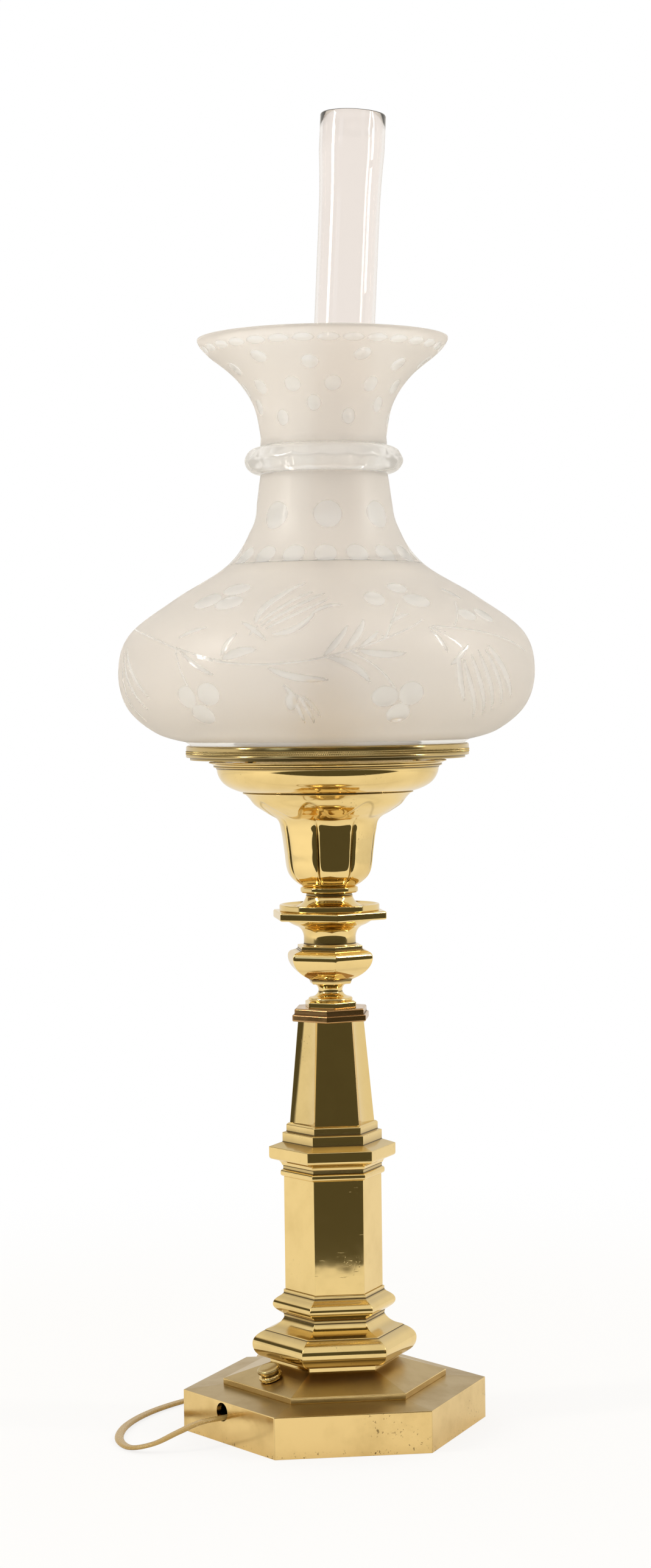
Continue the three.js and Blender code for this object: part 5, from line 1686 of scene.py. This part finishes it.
def gallery_piece():
    """A ring whose top is a function of the angle: high on a prong and low in a slot."""
    inner, outer = GALLERY_WALL
    half = math.asin(SLOT_HALF / outer)
    step = 2 * math.pi / PRONGS
    slot = half * np.linspace(-1, 1, SLOT_COLUMNS)
    prong = np.linspace(half + HAIR, step - half - HAIR, PRONG_COLUMNS)[:-1]
    one = np.concatenate([slot, prong])
    angle = (one[None] + (np.arange(PRONGS) + 0.5)[:, None] * step).ravel()
    low = np.tile(np.arange(len(one)) < SLOT_COLUMNS, PRONGS)
    top = np.where(low, SLOT_FOOT, GALLERY_TOP)
    rims = [(6.2, 404), (22, 404), (22, 405), (outer + 0.3, 405.1), (outer, 405.5)]
    rims += [(outer, top), (inner, top), (inner, 405), (6.2, 405)]
    rows = [np.column_stack([heading(angle) * r * MM, np.full(len(angle), z) * MM]) for r, z in rims]
    piece = surface("gallery_fine", np.stack(rows), loop_rows=True)
    piece.data.set_sharp_from_angle(angle=math.radians(35))
    return piece


place(gallery_piece(), "lamp", "polished_brass", POLISHED, "gallery")
print("gallery:", PRONGS, "prongs")

# %% [markdown]
# The bulb's brass cap has a rolled thread, here as a row of rings, and its glass is a flame of thin wall.

# %% Bulb
BULB_FOOT, BULB_SEAM, BULB_TIP_RADIUS, BULB_CAP_RADIUS = 418.3, 440, 4, 6.3
THREAD_SWING, THREAD_PITCH, THREAD_FROM, THREAD_TO = 0.3, 2.4, 424, 436
FLAME = [
    (0.57, 0),
    (0.62, 0.12, 0.95, 0.2, 1, 0.36),
    (1.02, 0.55, 0.5, 0.75, 0.2, 0.96),
    (0.1, 1, 0.002, 1),
]
FLAME_RADIUS, FLAME_HEIGHT, FLAME_WALL, FLAME_BORE = 10.4 * MM, 48 * MM, 0.8 * MM, 0.02 * MM


def bulb_cap():
    """Radius less the swing times 1 - cos of the way up in pitches, between both ends of the thread."""
    height = np.linspace(BULB_FOOT, BULB_SEAM, 70)
    threaded = (height > THREAD_FROM) & (height < THREAD_TO)
    wave = 1 - np.cos((height - THREAD_FROM) * 2 * math.pi / THREAD_PITCH)
    radius = BULB_CAP_RADIUS - THREAD_SWING * wave * threaded
    radius[0] = BULB_TIP_RADIUS
    return surface("bulb_cap_fine", lifted(round_ring(radius * MM, 48), height * MM), capped=True)


def bulb_glass():
    """The flame's outline and the same line one wall inwards, kept above the seam."""
    outside = trace(FLAME, FLAME_RADIUS, FLAME_HEIGHT, BULB_SEAM * MM, steps=16)
    inside = np.maximum(outside - outward(outside) * FLAME_WALL, [FLAME_BORE, BULB_SEAM * MM])
    outline = np.vstack([outside, inside[::-1]])
    grid = lifted(round_ring(outline[:, 0], 64), outline[:, 1])
    return surface("bulb_glass_fine", grid, loop_rows=True)


place(bulb_cap(), "lamp", "polished_brass", POLISHED, "bulb_cap")
place(bulb_glass(), "lamp", "clear_glass", CLEAR, "bulb_glass")
print("bulb glass", round(FLAME_HEIGHT, 4), "m tall")

# %% [markdown]
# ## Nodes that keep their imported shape
# The ring's spider, the rod with its bar, nuts and washer, the switch's body and shaft, the cord grip and
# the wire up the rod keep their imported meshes. Each gets the finished material of its own slot.

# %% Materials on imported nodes
FINISHES = {
    "polished_brass": POLISHED,
    "base_brass": BASE_BRASS,
    "dark_brass": DARK_BRASS,
    "frosted_glass": FROST,
    "clear_glass": CLEAR,
    "plated_steel": STEEL,
    "dark_plastic": PLASTIC,
    "gold_vinyl": VINYL,
}
slot_of = {entry["node"]: entry["material_slot"] for entry in frame["record"]["subparts"]}
for name, packed in frame["nodes"].items():
    for entry in packed.material_slots:
        entry.material = FINISHES[slot_of[name]]
print("finishes:", len(FINISHES))

# %% [markdown]
# ## Light and stage
# The lamp stands on a pale table that ends half a metre in front of it. To mirrors alone, the room beyond
# is dark in front, and brass shows it: faces that look at the camera are dark, and those that look aside
# or down are pale. Light that has spread or gone through glass comes from an even white, so the room's
# darkness doesn't dim the glass.

# %% World
FRONT = np.append(heading(np.radians(-3.5)), 0)
WINDOW = np.append(heading(np.radians(-48)), 0)
LEFT_CORNER = np.append(heading(np.radians(-105)), 0)
DARK_ROOM = (0.09, 0.08, 0.045, 1)
DAYLIGHT = (0.8, 0.9, 1, 1)
PALE_WALL = (0.87, 0.83, 0.76, 1)
BROWN_WALL = (0.22, 0.14, 0.06, 1)
WHITE_BACKDROP = (1, 0.985, 0.965, 1)
WHITE = (1, 1, 1, 1)


def facing(tree, level, towards):
    """The cosine between the level part of a ray and a level direction."""
    made = node(tree, "ShaderNodeVectorMath", {"operation": "DOT_PRODUCT"}, i0=level, i1=towards)
    return made.outputs["Value"]


def build_world():
    """White to the camera. To mirrors, a dark room: it reaches some eighty degrees to each side of the
    front, and in the left corner further, but only from ten degrees up, and fades to pale walls about
    thirty degrees up. From ten degrees up it has brown stripes and one narrow window."""
    world = bpy.data.worlds.new("studio")
    bpy.context.scene.world = world
    world.use_nodes = True
    tree = world.node_tree
    tree.nodes.clear()
    direction = node(tree, "ShaderNodeTexCoord").outputs["Generated"]
    parts = node(tree, "ShaderNodeSeparateXYZ", i0=direction)
    up = parts.outputs[2]
    flat = node(tree, "ShaderNodeCombineXYZ", i0=parts.outputs[0], i1=parts.outputs[1])
    level = node(tree, "ShaderNodeVectorMath", {"operation": "NORMALIZE"}, i0=flat.outputs[0]).outputs[0]
    path = node(tree, "ShaderNodeLightPath")
    through_glass = path.outputs["Is Transmission Ray"]
    mirrored = arithmetic(tree, "SUBTRACT", path.outputs["Is Glossy Ray"], through_glass, True)
    raised = remap(tree, up, 0.16, 0.24)
    corner = remap(tree, facing(tree, level, LEFT_CORNER), 0.8, 0.87)
    ahead = remap(tree, facing(tree, level, FRONT), 0.14, 0.24)
    ahead = arithmetic(tree, "MAXIMUM", ahead, arithmetic(tree, "MULTIPLY", corner, raised))
    dark = arithmetic(tree, "MULTIPLY", ahead, remap(tree, up, 0.42, 0.54, 1, 0))
    dark = arithmetic(tree, "MULTIPLY", dark, mirrored)
    stripe = arithmetic(tree, "MULTIPLY", remap(tree, noise(tree, level, 5.5, 1), 0.5, 0.56), raised)
    window = remap(tree, facing(tree, level, WINDOW), 0.988, 0.994)
    window = arithmetic(tree, "MULTIPLY", window, remap(tree, up, 0.12, 0.2))
    room = blended(tree, window, blended(tree, stripe, DARK_ROOM, BROWN_WALL), DAYLIGHT)
    lighting = arithmetic(tree, "MAXIMUM", path.outputs["Is Diffuse Ray"], through_glass)
    around = blended(tree, dark, blended(tree, lighting, PALE_WALL, WHITE_BACKDROP), room)
    colour = blended(tree, path.outputs["Is Camera Ray"], around, WHITE)
    background = node(tree, "ShaderNodeBackground", Color=colour, Strength=1.0)
    out = node(tree, "ShaderNodeOutputWorld")
    tree.links.new(background.outputs[0], out.inputs["Surface"])


build_world()
print("world:", bpy.context.scene.world.name)

# %% [markdown]
# The table is matt and pale. To the camera it is mostly white already: four fifths near the lamp, where
# the rest still shows the lamp's shadow, and wholly white from 0.9 m out, where it meets the backdrop.
# Under the plinth nothing is added, so that the hollow inside stays dark behind the cord hole.

# %% Table
TABLE = np.array([(-1.6, -0.52), (1.6, -0.52), (1.6, 2.2), (-1.6, 2.2)])
UNDER_PLINTH, BESIDE_PLINTH = 0.0762, 0.0784
SHADOW_TO, WHITE_FROM, WHITE_SHARE = 0.3, 0.9, 0.8


def floor_material():
    """Table and white light mixed by a share that depends on the distance from the lamp's axis."""
    material, tree, shader = new_material("table")
    fill(tree, shader, {"Base Color": (0.8, 0.77, 0.71, 1), "Roughness": 0.9, "Specular IOR Level": 0.1})
    seen = node(tree, "ShaderNodeLightPath").outputs["Is Camera Ray"]
    place_in = node(tree, "ShaderNodeTexCoord").outputs["Object"]
    away = node(tree, "ShaderNodeVectorMath", {"operation": "LENGTH"}, i0=place_in).outputs["Value"]
    open_floor = arithmetic(tree, "MULTIPLY", seen, remap(tree, away, UNDER_PLINTH, BESIDE_PLINTH))
    fade = remap(tree, away, SHADOW_TO, WHITE_FROM, WHITE_SHARE, 1)
    share = arithmetic(tree, "MULTIPLY", open_floor, fade)
    white = node(tree, "ShaderNodeEmission", Color=WHITE, Strength=1.0)
    mix = node(tree, "ShaderNodeMixShader", i0=share, i1=shader.outputs[0], i2=white.outputs[0])
    tree.links.new(mix.outputs[0], tree.nodes["Material Output"].inputs["Surface"])
    return material


table_mesh = bpy.data.meshes.new("table")
table_mesh.from_pydata([(x, y, 0) for x, y in TABLE.tolist()], [], [(0, 1, 2, 3)])
table = bpy.data.objects.new("table", table_mesh)
bpy.context.scene.collection.objects.link(table)
table.data.materials.append(floor_material())
print("table edge at", TABLE[0, 1], "m")

# %% [markdown]
# Two tall narrow windows light the lamp from both sides, from just above its top. Each entry is place,
# size and watts.

# %% Lights
LIGHTS = {
    "window_left": ((-1.57, -0.31, 1.3), (0.2, 1.1), 10),
    "window_right": ((1.53, -0.47, 1.3), (0.14, 1.1), 7),
}
LIGHT_AIM, LIGHT_COLOUR = np.array([0, 0, 0.35]), (1, 0.97, 0.92)


def soft_light(name, place_at, size, watts):
    """A tall rectangle of light. It shines against its backward axis, which points away from the aim."""
    data = bpy.data.lights.new(name, "AREA")
    data.shape = "RECTANGLE"
    data.size, data.size_y = size
    data.energy = watts
    data.color = LIGHT_COLOUR
    lamp = bpy.data.objects.new(name, data)
    bpy.context.scene.collection.objects.link(lamp)
    aim = LIGHT_AIM - np.array(place_at)
    back = -aim / np.linalg.norm(aim)
    right = np.cross([0, 0, 1], back)
    right /= np.linalg.norm(right)
    pose = np.eye(4)
    pose[:3, :3] = np.column_stack([right, np.cross(back, right), back])
    pose[:3, 3] = place_at
    lamp.matrix_world = Matrix(pose.tolist())


for name, (place_at, size, watts) in LIGHTS.items():
    soft_light(name, place_at, size, watts)
bpy.context.scene.view_settings.view_transform = "Standard"
print("lights:", len(LIGHTS))
